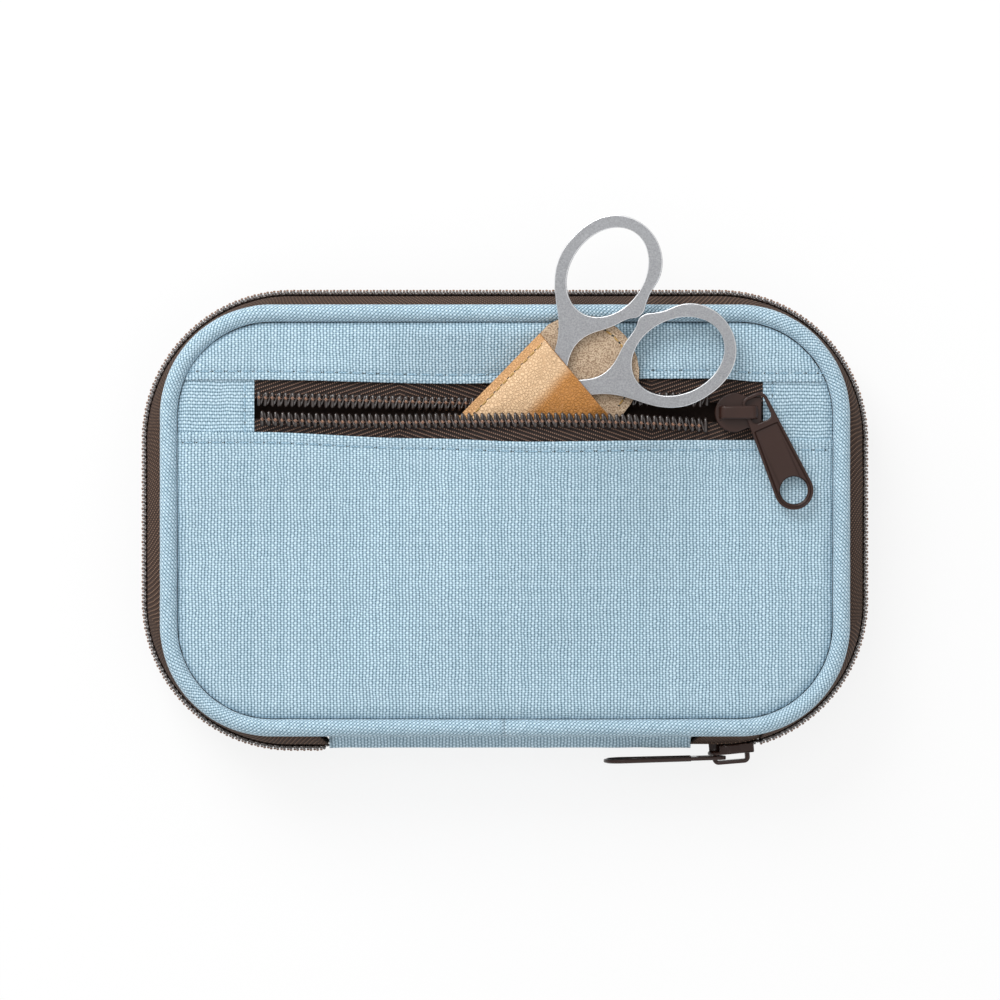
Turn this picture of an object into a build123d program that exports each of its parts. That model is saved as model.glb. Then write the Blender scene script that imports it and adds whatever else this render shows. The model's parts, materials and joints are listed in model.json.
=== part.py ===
from build123d import *
import os
from math import atan2, cos, radians, sin, tan

# Zip-round canvas case for crochet hooks. It lies on its back, with +Z out of
# its front face, +X to the right and +Y to the top. The spine, where the case
# folds open, runs along the lower edge. All sizes are in millimetres, and the
# origin is the centre of the back face.

# Outline and depth of the case
body_length = 169.8         # across the piping
body_width = 106.3
body_corner = 27.5
end_bulge = 5.1             # how far the zipper stands out beyond the piping
side_bulge = 3.85
corner_bulge = 9.5          # its corners are wider than those of the piping
case_depth = 30.4           # back face to the plane of the front seam
piping_d = 4.3
piping_inset = 2.6          # piping centre below the back or front plane

# Sheet thicknesses
canvas_t = 1.0
board_t = 1.2
back_board_t = 2.0
lining_t = 0.6
tape_t = 0.6
binding_w = 2.6
binding_h = 2.0
fit = 0.3                   # air between pieces that move past each other
seam_gap = 0.05             # air between sheets that are sewn together
sheet_edge_r = 0.35         # turned edge of a canvas sheet

# Zipper round the edge
coil_t = 1.6                # height of a row of coil above its tape
row_w = 2.65                # width of one row when the two are meshed
mesh_gap = 0.1              # each row to the middle of the closed chain
tape_edge_gap = 1.4         # each tape to the middle of the closed chain
wall_turn_z = 10.2          # where the sloping tape turns upright
seam_overlap = 2.7          # width of the tape's flange on the seam

# Spine
spine_left_inset = 46.5     # its ends, measured from the ends of the zipper
spine_right_inset = 44.0
spine_t = 1.2
spine_bulge = 4.4           # outer canvas beyond the fold lines
fold_inset = 1.75           # fold line inside the outer edge of the piping
fold_z = 6.3                # height of the lower fold line
fold_knee = 2.2             # the spine leaves its fold upright for this much
fold_lip = 0.8
fold_slope = 3.8            # height over which it bows out to the full bulge
bead_r = 0.7
zipper_end_reach = 10.3     # the chain that stays with the spine, past the corner's start
zipper_end_slope_z = 8.4    # beside that stretch, the halves' tapes stop here
last_tooth_reach = 1.9

# Pocket on the front
mouth_top_y = 34.2
mouth_bottom_y = 21.4
mouth_left_x = -61.6
mouth_right_x = 63.4
mouth_depth = 2.4           # front plane to the underside of the pocket's zipper tapes
cavity_depth = 7.0          # front plane to the floor of the pocket
drape_left_x = -45.0        # the panels are level outside these two
drape_right_x = 50.0
seam_depth = 2.6            # front plane to the underside of the panels along the seam
lower_drape = [(-13.0, 3.3), (27.0, 6.1)]      # rise of the lower mouth edge
upper_drape = [(-15.0, -3.6), (5.0, -3.6)]     # fall of the upper mouth edge
belly_drape = [(-13.0, 2.6), (27.0, 2.7)]      # crown of the panel at its middle
hem_drape = [(-13.0, 0.3), (27.0, 0.3)]
belly_y = -15.0
pocket_row_w = 3.9
upper_row = [(-61.4, 29.9), (-20.0, 28.8), (10.0, 28.7), (40.0, 29.8), (51.2, 29.4)]
lower_row = [(-61.4, 25.2), (-20.0, 24.4), (15.0, 24.5), (40.0, 23.9), (51.2, 23.4)]
tape_under_panel = 2.6

# Sliders and pulls, the same on both zippers
slider_l = 11.4
slider_w = 9.7
slider_rear_w = 7.6
slider_shoulder_x = -0.3
slider_throat_x = -2.8         # where the flanges and the wedge begin
slider_waist_x = 2.4
plate_t = 0.8
slider_wall = 0.75
slider_fit = 0.25
bridge_l = 9.3
bridge_w = 3.2
bridge_t = 1.0
bridge_foot = 1.2
bridge_r = 1.5
pull_t = 0.9
pull_l = 30.4
pull_top_w = 6.6
pull_ring_r = 4.8
pull_hole_r = 3.45
pull_loop_l = 6.3
pull_loop_w = 4.9
pull_loop_r = 1.2
pull_top_r = 2.3
pull_rim = 0.75
pull_dish = 0.15
pull_play = 0.35
pocket_slider_at = (57.2, 26.5)
pocket_pull_at = (59.4, 26.0)
pocket_pull_dir = (0.405, -0.914)
main_slider_angle = 4.7     # how far it has come round the corner
main_pull_lean = 1.6        # its pull hangs a little away from the spine
main_pull_lift = 0.1

# Sheath and scissors, drawn in a plane that tilts up towards the finger rings
tool_at = (33.4, 50.2)
tool_height = 3.22          # steel's middle above the front plane, by the finger rings
tool_turn = 40.0
tool_tilt = 5.5
steel_t = 2.1
leather_t = 0.85
sheath_fit = 0.2
sheath_seam = 2.2
sheath_tip_u = -82.0
sheath_mouth_u = -22.0
sheath_shoulder_u = -19.0
sheath_end_u = -6.3
sheath_left_w = 12.7        # half widths at the mouth
sheath_right_w = 15.3
sheath_taper = 5.7
sheath_tip_r = 3.0
ring_centre = (0.44, 13.42)
ring_hole = (11.8, 9.06)
ring_turn = 14.2
# One handle's outline as (along, out): from its nib round the ring to the pivot, and back
handle_outer = [(1.5, 0.55), (3.3, 1.8), (5.6, 2.9), (8.6, 3.9), (11.4, 5.7), (13.7, 8.8), (14.9, 13.1),
                (14.2, 18.2), (11.1, 22.7), (6.2, 25.2), (0.0, 25.5), (-6.2, 23.8), (-10.6, 20.4),
                (-13.6, 16.4), (-16.6, 11.8), (-19.7, 8.6), (-23.5, 6.2), (-30.5, 4.6)]
handle_inner = [(-36.0, -1.0), (-30.0, -2.2), (-23.5, 0.95), (-20.3, 3.3), (-17.6, 4.6), (-14.3, 4.9),
                (-11.0, 4.0), (-8.0, 2.75), (-5.6, 2.1), (-3.2, 1.45), (-1.6, 0.5)]
nib_tip = (0.0, 0.15)
pivot_u = -34.0
pivot_boss_r = 4.6
rivet_r = 1.9
rivet_fit = 0.05
blade_tip_u = -76.0
lap_gap = 0.05

# Inside
band_x = 45.0
band_w = 20.0
loop_count = 8
loop_pitch = 10.5
loop_w = 9.6
loop_h = 6.4
elastic_t = 0.7
inner_pocket_l = 128.0
inner_pocket_w = 62.0
inner_pocket_depth = 5.2
inner_pocket_t = 0.7
inner_pocket_y = -10.0

# Sizes that follow from those above
chain_length = body_length + 2 * end_bulge
chain_width = body_width + 2 * side_bulge
chain_corner = body_corner + corner_bulge
corner_at = (chain_length / 2 - chain_corner, -(chain_width / 2 - chain_corner))
spine_left = -(chain_length / 2 - spine_left_inset)
spine_right = chain_length / 2 - spine_right_inset
zipper_end_x = corner_at[0] + zipper_end_reach
last_tooth_x = corner_at[0] + last_tooth_reach
mouth_z = case_depth - mouth_depth
cavity_floor_z = case_depth - cavity_depth
crown_z = case_depth - seam_depth
mid_z = case_depth / 2
mid_plane = Plane.XY.offset(mid_z)
panel_inset = piping_d / 2 - 0.4           # panel edge inside the piping's centre
inner_inset = piping_d / 2 + 0.4
inner_half_width = body_width / 2 - piping_d / 2 - inner_inset
back_lining_top = canvas_t + back_board_t + lining_t
seam_z = piping_inset + piping_d / 2 + fit
fold_y = -(body_width / 2 - fold_inset)
spine_y = fold_y - spine_bulge
coil_top = tape_t + coil_t
plate_low = coil_top + slider_fit
plate_top = plate_low + plate_t
pull_axis_h = plate_top + pull_play + pull_t / 2
bridge_under = pull_axis_h + pull_t / 2 + pull_play
bridge_top = bridge_under + bridge_t
blade_t = steel_t / 2 - lap_gap
slider_bow = slider_l ** 2 / (8 * chain_corner)    # rise of the chain within a slider
foot_top = -(slider_bow + seam_gap * 3)
cavity_half = steel_t / 2 + sheath_fit
sheath_half = cavity_half + leather_t


def rounded(length, width, corner, grow=0.0):
    """A rounded rectangle, grown or shrunk by an even margin."""
    return RectangleRounded(length + 2 * grow, width + 2 * grow, corner + grow)


def slab(sketch, low, high):
    """A flat sheet of the sketch's outline between two heights."""
    return extrude(Pos(0, 0, low) * sketch, amount=high - low)


def chain_outline(grow=0.0):
    return rounded(chain_length, chain_width, chain_corner, grow)


def body_outline(grow=0.0):
    return rounded(body_length, body_width, body_corner, grow)


def panel_outline():
    return body_outline(-piping_d / 2 - panel_inset)


def inner_outline(grow=0.0):
    return body_outline(-piping_d / 2 - inner_inset + grow)


def block(x_low, x_high, y_low, y_high, z_low, z_high):
    """A box between two corners, used to cut or to keep a stretch."""
    size = (x_high - x_low, y_high - y_low, z_high - z_low)
    centre = ((x_high + x_low) / 2, (y_high + y_low) / 2, (z_high + z_low) / 2)
    return Pos(*centre) * Box(*size)


def spine_zone(margin, x_low=spine_left, z_low=0.0):
    """The stretch of the lower wall that the spine and the chain's end fill."""
    return block(x_low - margin, zipper_end_x + margin,
                 -chain_width, -body_width / 2 + 12, z_low, case_depth)


def flipped(solid):
    """The matching piece on the other side of the case's middle."""
    return mirror(solid, about=mid_plane)


# Back half and the pieces both halves share

def piping():
    path = body_outline(-piping_d / 2).wire().moved(Location((0, 0, piping_inset)))
    start = Plane(origin=path @ 0, z_dir=path % 0)
    return sweep(start * Circle(piping_d / 2), path=path)


def zipper_tape():
    """Tape of one half: a flange on the seam, a slope and an upright wall."""
    seam = body_outline(-piping_d / 2 + 0.65)
    seam_in = body_outline(-piping_d / 2 + 0.65 - tape_t)
    wall = chain_outline(-coil_t)
    wall_in = chain_outline(-coil_t - tape_t)
    flange = slab(seam, seam_z, seam_z + tape_t)
    flange -= slab(body_outline(-piping_d / 2 + 0.65 - seam_overlap), seam_z, seam_z + tape_t)
    slope = loft([Pos(0, 0, seam_z) * seam, Pos(0, 0, wall_turn_z) * wall], ruled=True)
    slope -= loft([Pos(0, 0, seam_z) * seam_in, Pos(0, 0, wall_turn_z) * wall_in], ruled=True)
    upright = slab(wall - wall_in, wall_turn_z, mid_z - tape_edge_gap)
    tape = flange + slope + upright
    beside_spine = block(spine_left - fit, spine_right + fit, -chain_width, 0, 0, case_depth)
    return tape - beside_spine - spine_zone(fit, spine_right, zipper_end_slope_z)


def coil_row():
    """One meshed row of the coil, on the outside of its tape."""
    ring = chain_outline() - chain_outline(-coil_t + seam_gap)
    row = slab(ring, mid_z - mesh_gap - row_w, mid_z - mesh_gap)
    return row - spine_zone(fit)


def back_panel():
    panel = slab(panel_outline(), 0, canvas_t)
    return fillet(panel.edges().group_by(Axis.Z)[0], sheet_edge_r)


def binding():
    """Binding tape over the raw edges, round the floor of a half."""
    ring = inner_outline() - inner_outline(-binding_w)
    return slab(ring, back_lining_top, back_lining_top + binding_h)


def hook_band(x):
    """Elastic band sewn down between the loops that hold the hooks."""
    low = back_lining_top
    start = -(loop_count - 1) / 2 * loop_pitch
    profile = Pos(0, low + elastic_t / 2) * Rectangle(loop_count * loop_pitch + 2, elastic_t)
    for i in range(loop_count):
        at = Pos(start + i * loop_pitch, low + loop_h / 2)
        profile += at * RectangleRounded(loop_w, loop_h, 2.4)
    for i in range(loop_count):
        at = Pos(start + i * loop_pitch, low + loop_h / 2)
        profile -= at * RectangleRounded(loop_w - 2 * elastic_t, loop_h - 2 * elastic_t, 1.7)
    return extrude(Plane.YZ.offset(x - band_w / 2) * profile, amount=band_w)


# Spine, and the end of the chain that is sewn to it

def spine_line(inset, reach=0.0):
    """Section of the spine, bowed out between its two fold lines."""
    lean = atan2(spine_bulge - fold_lip, fold_slope)
    knee = (fold_y - fold_lip + inset * cos(lean), fold_z + fold_knee + inset * sin(lean))
    turn_z = fold_z + fold_knee + fold_slope + inset * tan(lean / 2)
    lower = [knee, (spine_y + inset, turn_z)]
    if reach:
        lower = [(fold_y, fold_z), *lower]
    upper = [(y, case_depth - z) for y, z in reversed(lower)]
    return FilletPolyline(*lower, *upper, radius=reach or 1.0)


def spine_panel():
    profile = trace(spine_line(0.0, reach=1.0), line_width=spine_t)
    for z in (fold_z, case_depth - fold_z):
        profile += Pos(fold_y, z) * Circle(bead_r)
    return extrude(Plane.YZ.offset(spine_left) * profile, amount=spine_right - spine_left)


def spine_lining():
    inset = (spine_t + lining_t) / 2 + seam_gap
    profile = trace(spine_line(inset), line_width=lining_t)
    return extrude(Plane.YZ.offset(spine_left) * profile, amount=spine_right - spine_left)


def zipper_end_tapes():
    ring = chain_outline(-coil_t) - chain_outline(-coil_t - tape_t)
    lower = slab(ring, wall_turn_z, mid_z - tape_edge_gap)
    keep = block(spine_right, zipper_end_x, -chain_width, 0, 0, case_depth)
    lower = lower & keep
    return Compound(children=[lower, flipped(lower)])


def zipper_end_coil():
    ring = chain_outline() - chain_outline(-coil_t + seam_gap)
    row = slab(ring, mid_z - mesh_gap - row_w, mid_z - mesh_gap)
    keep = block(last_tooth_x, zipper_end_x, -chain_width, 0, 0, case_depth)
    row = row & keep
    return Compound(children=[row, flipped(row)])


# Front half: the pocket's panels, tapes and rows

def drape(rise, level, thickness):
    """Section across the case, level at both ends and raised between them."""
    x_end = body_length / 2
    inner = [(drape_left_x, level), *[(x, level + dz) for x, dz in rise], (drape_right_x, level)]
    low = [
        Line((-x_end, level), (drape_left_x, level)),
        Spline(*inner, tangents=[(1, 0), (1, 0)]),
        Line((drape_right_x, level), (x_end, level)),
    ]
    high = [edge.moved(Location((0, thickness, 0))) for edge in low]
    ends = [Line((x, level), (x, level + thickness)) for x in (-x_end, x_end)]
    return make_face([*low, *high, *ends])


def section_at(y, rise, level, thickness):
    return Pos(0, y, 0) * (Plane.XZ * drape(rise, level, thickness))


def draped(plan, rise, level, thickness):
    """A thin strip of the plan's outline that follows a draped section."""
    band = extrude(Plane.XZ * drape(rise, level, thickness), amount=body_width, both=True)
    prism = slab(plan, cavity_floor_z - 5, case_depth + 10)
    return band & prism


def front_prism():
    return slab(inner_outline(), cavity_floor_z, case_depth + 10)


def pocket_panel():
    """Large lower panel of the front, lifted at its mouth by the sheath."""
    low = mouth_z + tape_t + seam_gap
    mouth = section_at(mouth_bottom_y, lower_drape, low, canvas_t)
    over_tape = section_at(mouth_bottom_y - tape_under_panel - fit, lower_drape, low, canvas_t)
    belly = section_at(belly_y, belly_drape, crown_z, canvas_t)
    hem = section_at(-body_width / 2, hem_drape, crown_z, canvas_t)
    return loft([mouth, over_tape, belly, hem], ruled=True) & front_prism()


def upper_panel():
    """Narrow panel above the pocket's mouth."""
    low = mouth_z + tape_t + seam_gap
    mouth = section_at(mouth_top_y, upper_drape, low, canvas_t)
    over_tape = section_at(mouth_top_y + tape_under_panel + fit, upper_drape, low, canvas_t)
    seam_y = inner_half_width - lining_t - fit
    seam = section_at(seam_y, hem_drape, crown_z, canvas_t)
    edge = section_at(body_width / 2, hem_drape, crown_z, canvas_t)
    return loft([mouth, over_tape, seam, edge], ruled=True) & front_prism()


def pocket_tab(x_low, x_high):
    """Small canvas tab that closes one end of the pocket's mouth."""
    low = mouth_z + tape_t + seam_gap
    tab = block(x_low, x_high, mouth_bottom_y + seam_gap, mouth_top_y - seam_gap,
                low, low + canvas_t)
    return tab & front_prism()


def row_plan(points):
    return trace(Spline(*points), line_width=pocket_row_w)


def pocket_row(points, rise):
    return draped(row_plan(points), rise, mouth_z + tape_t, coil_t)


def pocket_tape(points, rise, seam_y):
    """Tape from the middle of its row to just under the panel's edge."""
    x_low = mouth_left_x - tape_under_panel
    x_high = mouth_right_x + tape_under_panel
    side = 1 if seam_y > points[0][1] else -1
    edge_points = [(x_low, points[0][1]), *points[1:-1],
                   (pocket_slider_at[0], pocket_slider_at[1] + side * 2.0),
                   (x_high, pocket_slider_at[1] + side * 1.8)]
    inner = Spline(*edge_points)
    far_y = seam_y + side * tape_under_panel
    rest = Polyline(inner @ 1, (x_high, far_y), (x_low, far_y), inner @ 0)
    return draped(make_face([inner.edge(), *rest.edges()]), rise, mouth_z, tape_t)


def pocket_backing():
    """Backing of the pocket, turned up round its edge to the front seam."""
    tray = slab(inner_outline(), cavity_floor_z - lining_t, crown_z - fit)
    return tray - slab(inner_outline(-lining_t), cavity_floor_z, crown_z)


def inner_pocket():
    """Slip pocket on the inside of the lid, open along its upper edge."""
    top = cavity_floor_z - lining_t - board_t - lining_t
    outer = Pos(0, inner_pocket_y, 0) * RectangleRounded(inner_pocket_l, inner_pocket_w, 8)
    hollow = Pos(0, inner_pocket_y + 5, 0) * RectangleRounded(
        inner_pocket_l - 2 * inner_pocket_t, inner_pocket_w + 10 - 2 * inner_pocket_t, 8)
    bag = slab(outer, top - inner_pocket_depth - inner_pocket_t, top)
    return bag - slab(hollow, top - inner_pocket_depth, top)


# Sliders and pulls. The chain runs along X, with the nose at -X, and the
# underside of the tape is at height 0.

def slider_outline(shrink=0.0):
    half = slider_w / 2 - shrink
    rear = slider_rear_w / 2 - shrink
    nose = -slider_l / 2 + shrink
    back = slider_l / 2 - shrink
    nose_arc = ThreePointArc((slider_shoulder_x, -half), (nose, 0), (slider_shoulder_x, half))
    sides = Polyline((slider_shoulder_x, half), (slider_waist_x, rear), (back, rear),
                     (back, -rear), (slider_waist_x, -rear), (slider_shoulder_x, -half))
    return make_face([nose_arc.edge(), *sides.edges()])


def slider():
    outline = slider_outline()
    top = slab(outline, plate_low, plate_top)
    top = fillet(top.edges().group_by(Axis.Z)[-1], 0.3)
    foot = slab(outline, foot_top - plate_t, foot_top)
    foot = fillet(foot.edges().group_by(Axis.Z)[0], 0.3)
    flange_ring = outline - slider_outline(slider_wall)
    flanges = slab(flange_ring, tape_t + fit, plate_low)
    flanges -= block(-slider_l, slider_throat_x, -slider_w, slider_w, 0, coil_top + 1)
    channel = slider_rear_w / 2 - slider_wall
    flanges -= block(slider_l / 2 - 1, slider_l, -channel, channel, 0, coil_top + 1)
    post = Pos(slider_throat_x - 1.0, 0) * Ellipse(1.5, 0.85)
    wedge = slab(post, foot_top, plate_low)
    return top + foot + flanges + wedge + bridge()


def bridge():
    """Arch that the pull's loop hangs on."""
    height = bridge_top - plate_top
    outer = Pos(0, plate_top + height / 2) * Rectangle(bridge_l, height)
    outer = fillet(outer.vertices().group_by(Axis.Y)[-1], bridge_r)
    tunnel_l = bridge_l - 2 * bridge_foot
    tunnel_h = bridge_under - plate_top
    tunnel = Pos(0, plate_top + tunnel_h / 2) * Rectangle(tunnel_l, tunnel_h)
    arch = extrude(Plane.XZ * (outer - tunnel), amount=bridge_w / 2, both=True)
    return fillet(arch.edges().filter_by(Axis.X).group_by(Axis.Z)[-1], 0.5)


def pull():
    """Flat pull: a loop at the near end and a finger hole at the far end."""
    bar = (pull_top_w - pull_loop_w) / 2
    loop = Pos(bar + pull_loop_l / 2, 0) * RectangleRounded(pull_loop_l, pull_loop_w, pull_loop_r)
    plate = pull_outline() - loop - Pos(pull_l - pull_ring_r, 0) * Circle(pull_hole_r)
    solid = slab(plate, -pull_t / 2, pull_t / 2)
    rims = solid.edges().group_by(Axis.Z)
    solid = fillet(rims[0] + rims[-1], 0.25)
    dish = slab(pull_outline(pull_rim), pull_t / 2 - pull_dish, pull_t)
    dish &= block(2 * bar + pull_loop_l + pull_rim, pull_l, -pull_l, pull_l, 0, pull_t)
    return solid - dish - mirror(dish, Plane.XY)


def pull_outline(shrink=0.0):
    """Round at the finger hole, and a narrower rounded arch at the loop."""
    far = Pos(pull_l - pull_ring_r, 0) * Circle(pull_ring_r - shrink)
    near = [Pos(pull_top_r, side * (pull_top_w / 2 - pull_top_r)) * Circle(pull_top_r - shrink)
            for side in (-1, 1)]
    return make_hull(far.edges() + near[0].edges() + near[1].edges())


def pocket_slider_place():
    return Location((*pocket_slider_at, mouth_z))


def pocket_pull_place():
    """The loop's left side passes under the bridge, and the pull lies aside."""
    bar = (pull_top_w - pull_loop_w) / 2
    along = Vector(*pocket_pull_dir, 0).normalized()
    across = Vector(0, 0, 1).cross(along)
    pin = Vector(*pocket_pull_at, mouth_z + pull_axis_h)
    origin = pin - along * (bar + pull_loop_l / 2) + across * ((pull_loop_w + bar) / 2)
    return Plane(origin=origin, x_dir=along, z_dir=(0, 0, 1))


def main_slider_place():
    """On the lower wall at the corner's start, then turned round the corner."""
    height = chain_width / 2 - coil_top
    at_start = Plane(origin=(corner_at[0], -height, mid_z), x_dir=(1, 0, 0), z_dir=(0, -1, 0))
    turn = Pos(*corner_at, 0) * Rot(0, 0, main_slider_angle) * Pos(-corner_at[0], -corner_at[1], 0)
    return turn * at_start.location


def main_pull_pin():
    """Centre of the loop's end bar, under the bridge of the main slider."""
    return (main_slider_place() * Pos(-1.7, 0, pull_axis_h + main_pull_lift)).position


def main_pull_place():
    bar = (pull_top_w - pull_loop_w) / 2
    lean = radians(main_pull_lean)
    along = Vector(-cos(lean), -sin(lean), 0)
    out = Vector(sin(lean), -cos(lean), 0)
    return Plane(origin=main_pull_pin() - along * (bar / 2), x_dir=along, z_dir=out)


# Sheath and scissors, in their own plane: u towards the finger rings, w to the
# left of it, and the steel's middle at height 0.

def tool_plane():
    turn, tilt = radians(tool_turn), radians(tool_tilt)
    u = Vector(cos(turn) * cos(tilt), sin(turn) * cos(tilt), sin(tilt))
    across = Vector(-sin(turn), cos(turn), 0)
    return Plane(origin=(*tool_at, case_depth + tool_height), x_dir=u, z_dir=u.cross(across))


def sheath_outline(shrink=0.0, end_u=None):
    """Tapered outline, cut square at end_u or rounded at the leaf's end."""
    fall = tan(radians(sheath_taper))
    tip = sheath_tip_u + shrink
    left = sheath_left_w - shrink
    right = -(sheath_right_w - shrink)
    drop = fall * (sheath_mouth_u - tip)
    near = sheath_shoulder_u if end_u is None else end_u
    grow = fall * (near - sheath_mouth_u)
    corners = [(near, left + grow), (tip, left - drop), (tip, right + drop), (near, right - grow)]
    sides = Polyline(*corners)
    if end_u is None:
        cap = ThreePointArc(corners[-1], (sheath_end_u, (left + right) / 2), corners[0])
    else:
        cap = Line(corners[-1], corners[0])
    face = make_face([*sides.edges(), cap.edge()])
    tip_corners = face.vertices().group_by(Axis.X)[0]
    return fillet(tip_corners, max(sheath_tip_r - shrink, 0.6))


def sheath_back():
    return slab(sheath_outline(), -sheath_half, -cavity_half)


def sheath_flap():
    """Front leaf of the sheath, stitched to the back leaf round three sides."""
    leaf = slab(sheath_outline(end_u=sheath_mouth_u), -cavity_half, sheath_half)
    hollow = slab(sheath_outline(sheath_seam, end_u=sheath_mouth_u + 1), -cavity_half, cavity_half)
    leaf = leaf - hollow
    return fillet(leaf.edges().group_by(Axis.Z)[-1].sort_by(Axis.X)[-1], 0.3)


def handle_plan(side):
    """Handle from the pivot round the finger hole. Its inner nib stops the other half."""
    outer = Spline(*[(u, side * w) for u, w in handle_outer])
    inner = Spline(*[(u, side * w) for u, w in handle_inner])
    nib = ThreePointArc(inner @ 1, (nib_tip[0], side * nib_tip[1]), outer @ 0)
    plan = make_face([outer, Line(outer @ 1, inner @ 0), inner, nib])
    hole = Pos(ring_centre[0], side * ring_centre[1]) * Rot(0, 0, side * ring_turn) * Ellipse(*ring_hole)
    return plan - hole


def blade_plan(side):
    """Blade beyond the pivot, on the far side from its ring."""
    points = [(pivot_u + 3, 3.0), (pivot_u - 5, 2.0), (blade_tip_u, 0.3),
              (blade_tip_u + 1, -0.7), (pivot_u - 12, -4.2), (pivot_u + 2, -4.4)]
    return make_face(Polyline(*[(u, side * w) for u, w in points], close=True))


def scissor_half(side):
    """One half: full thickness at the ring, half thickness where they cross."""
    handle = handle_plan(side)
    lap_u = -23.5
    low = -steel_t / 2 if side > 0 else lap_gap
    full = slab(handle, -steel_t / 2, steel_t / 2) & block(lap_u, 40, -40, 40, -5, 5)
    boss = Pos(pivot_u, 0) * Circle(pivot_boss_r)
    thin_plan = handle + boss + blade_plan(side)
    thin = slab(thin_plan, low, low + blade_t) & block(-90, lap_u + 0.01, -40, 40, -5, 5)
    bore = Pos(pivot_u, 0, 0) * Cylinder(rivet_r + rivet_fit, 2 * steel_t)
    return full + thin - bore


def rivet():
    return Pos(pivot_u, 0, 0) * Cylinder(rivet_r, steel_t)


def back_half():
    board_low = canvas_t
    lining_low = board_low + back_board_t
    return {
        "back_panel": back_panel(),
        "back_stiffener": slab(inner_outline(), board_low, lining_low),
        "back_lining": slab(inner_outline(), lining_low, back_lining_top),
        "back_binding": binding(),
        "back_piping": piping(),
        "back_tape": zipper_tape(),
        "back_coil": coil_row(),
        "hook_band_left": hook_band(-band_x),
        "hook_band_right": hook_band(band_x),
    }


def spine():
    return {
        "spine_panel": spine_panel(),
        "spine_lining": spine_lining(),
        "zipper_end_tapes": zipper_end_tapes(),
        "zipper_end_coil": zipper_end_coil(),
    }


def front_half():
    board_top = cavity_floor_z - lining_t
    lining_top = board_top - board_t
    floor = lining_top - lining_t
    ring = inner_outline() - inner_outline(-binding_w)
    return {
        "pocket_panel": pocket_panel(),
        "upper_panel": upper_panel(),
        "pocket_tab_left": pocket_tab(-body_length / 2, mouth_left_x),
        "pocket_tab_right": pocket_tab(mouth_right_x, body_length / 2),
        "front_piping": flipped(piping()),
        "front_tape": flipped(zipper_tape()),
        "front_coil": flipped(coil_row()),
        "pocket_backing": pocket_backing(),
        "front_stiffener": slab(inner_outline(), lining_top, board_top),
        "front_lining": slab(inner_outline(), floor, lining_top),
        "front_binding": slab(ring, floor - binding_h, floor),
        "pocket_tape_upper": pocket_tape(upper_row, upper_drape, mouth_top_y),
        "pocket_tape_lower": pocket_tape(lower_row, lower_drape, mouth_bottom_y),
        "pocket_coil_upper": pocket_row(upper_row, upper_drape),
        "pocket_coil_lower": pocket_row(lower_row, lower_drape),
        "inner_pocket": inner_pocket(),
    }


def hardware():
    return {
        "pocket_slider": pocket_slider_place() * slider(),
        "pocket_pull": pocket_pull_place() * pull(),
        "main_slider": main_slider_place() * slider(),
        "main_pull": main_pull_place() * pull(),
    }


def tools():
    place = tool_plane()
    return {
        "sheath_back": place * sheath_back(),
        "sheath_flap": place * sheath_flap(),
        "scissor_half_left": place * scissor_half(1),
        "scissor_half_right": place * scissor_half(-1),
        "scissor_rivet": place * rivet(),
    }


def main():
    os.makedirs("parts", exist_ok=True)
    nodes = {**back_half(), **spine(), **front_half(), **hardware(), **tools()}
    for name, solid in nodes.items():
        export_step(solid, f"parts/{name}.step")
    print(len(nodes), "nodes")
    pin = main_pull_pin()
    print("spine fold at", fold_y, fold_z, "and", case_depth - fold_z)
    print("corner centre", corner_at, "main pull pin", pin)
    print("pocket pull axis height", mouth_z + pull_axis_h)
    print("tool axis", tool_plane().x_dir, "normal", tool_plane().z_dir)
    pivot = (tool_plane().location * Pos(pivot_u, 0, 0)).position
    print("scissor pivot", pivot)


main()
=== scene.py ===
# %% [markdown]
# # A zip-round canvas case for crochet hooks
# The case lies on its back, and the camera looks straight down on its front. Canvas panels
# are sewn to a round piping on both faces, a coil zipper runs round the edge, and a smaller
# zipper across the front stands open over a leather sheath with a pair of flat scissors.
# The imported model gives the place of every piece. This file gives each one its cloth,
# leather, paint or steel, and rebuilds the soft pieces as thin sewn sheets.

# %% Load the fixed frame
import json
from math import atan2, ceil, cos, exp, hypot, pi, radians, sin, sqrt, tan

import bmesh
import bpy
from mathutils import Matrix, Vector, noise
from mathutils.bvhtree import BVHTree

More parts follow.
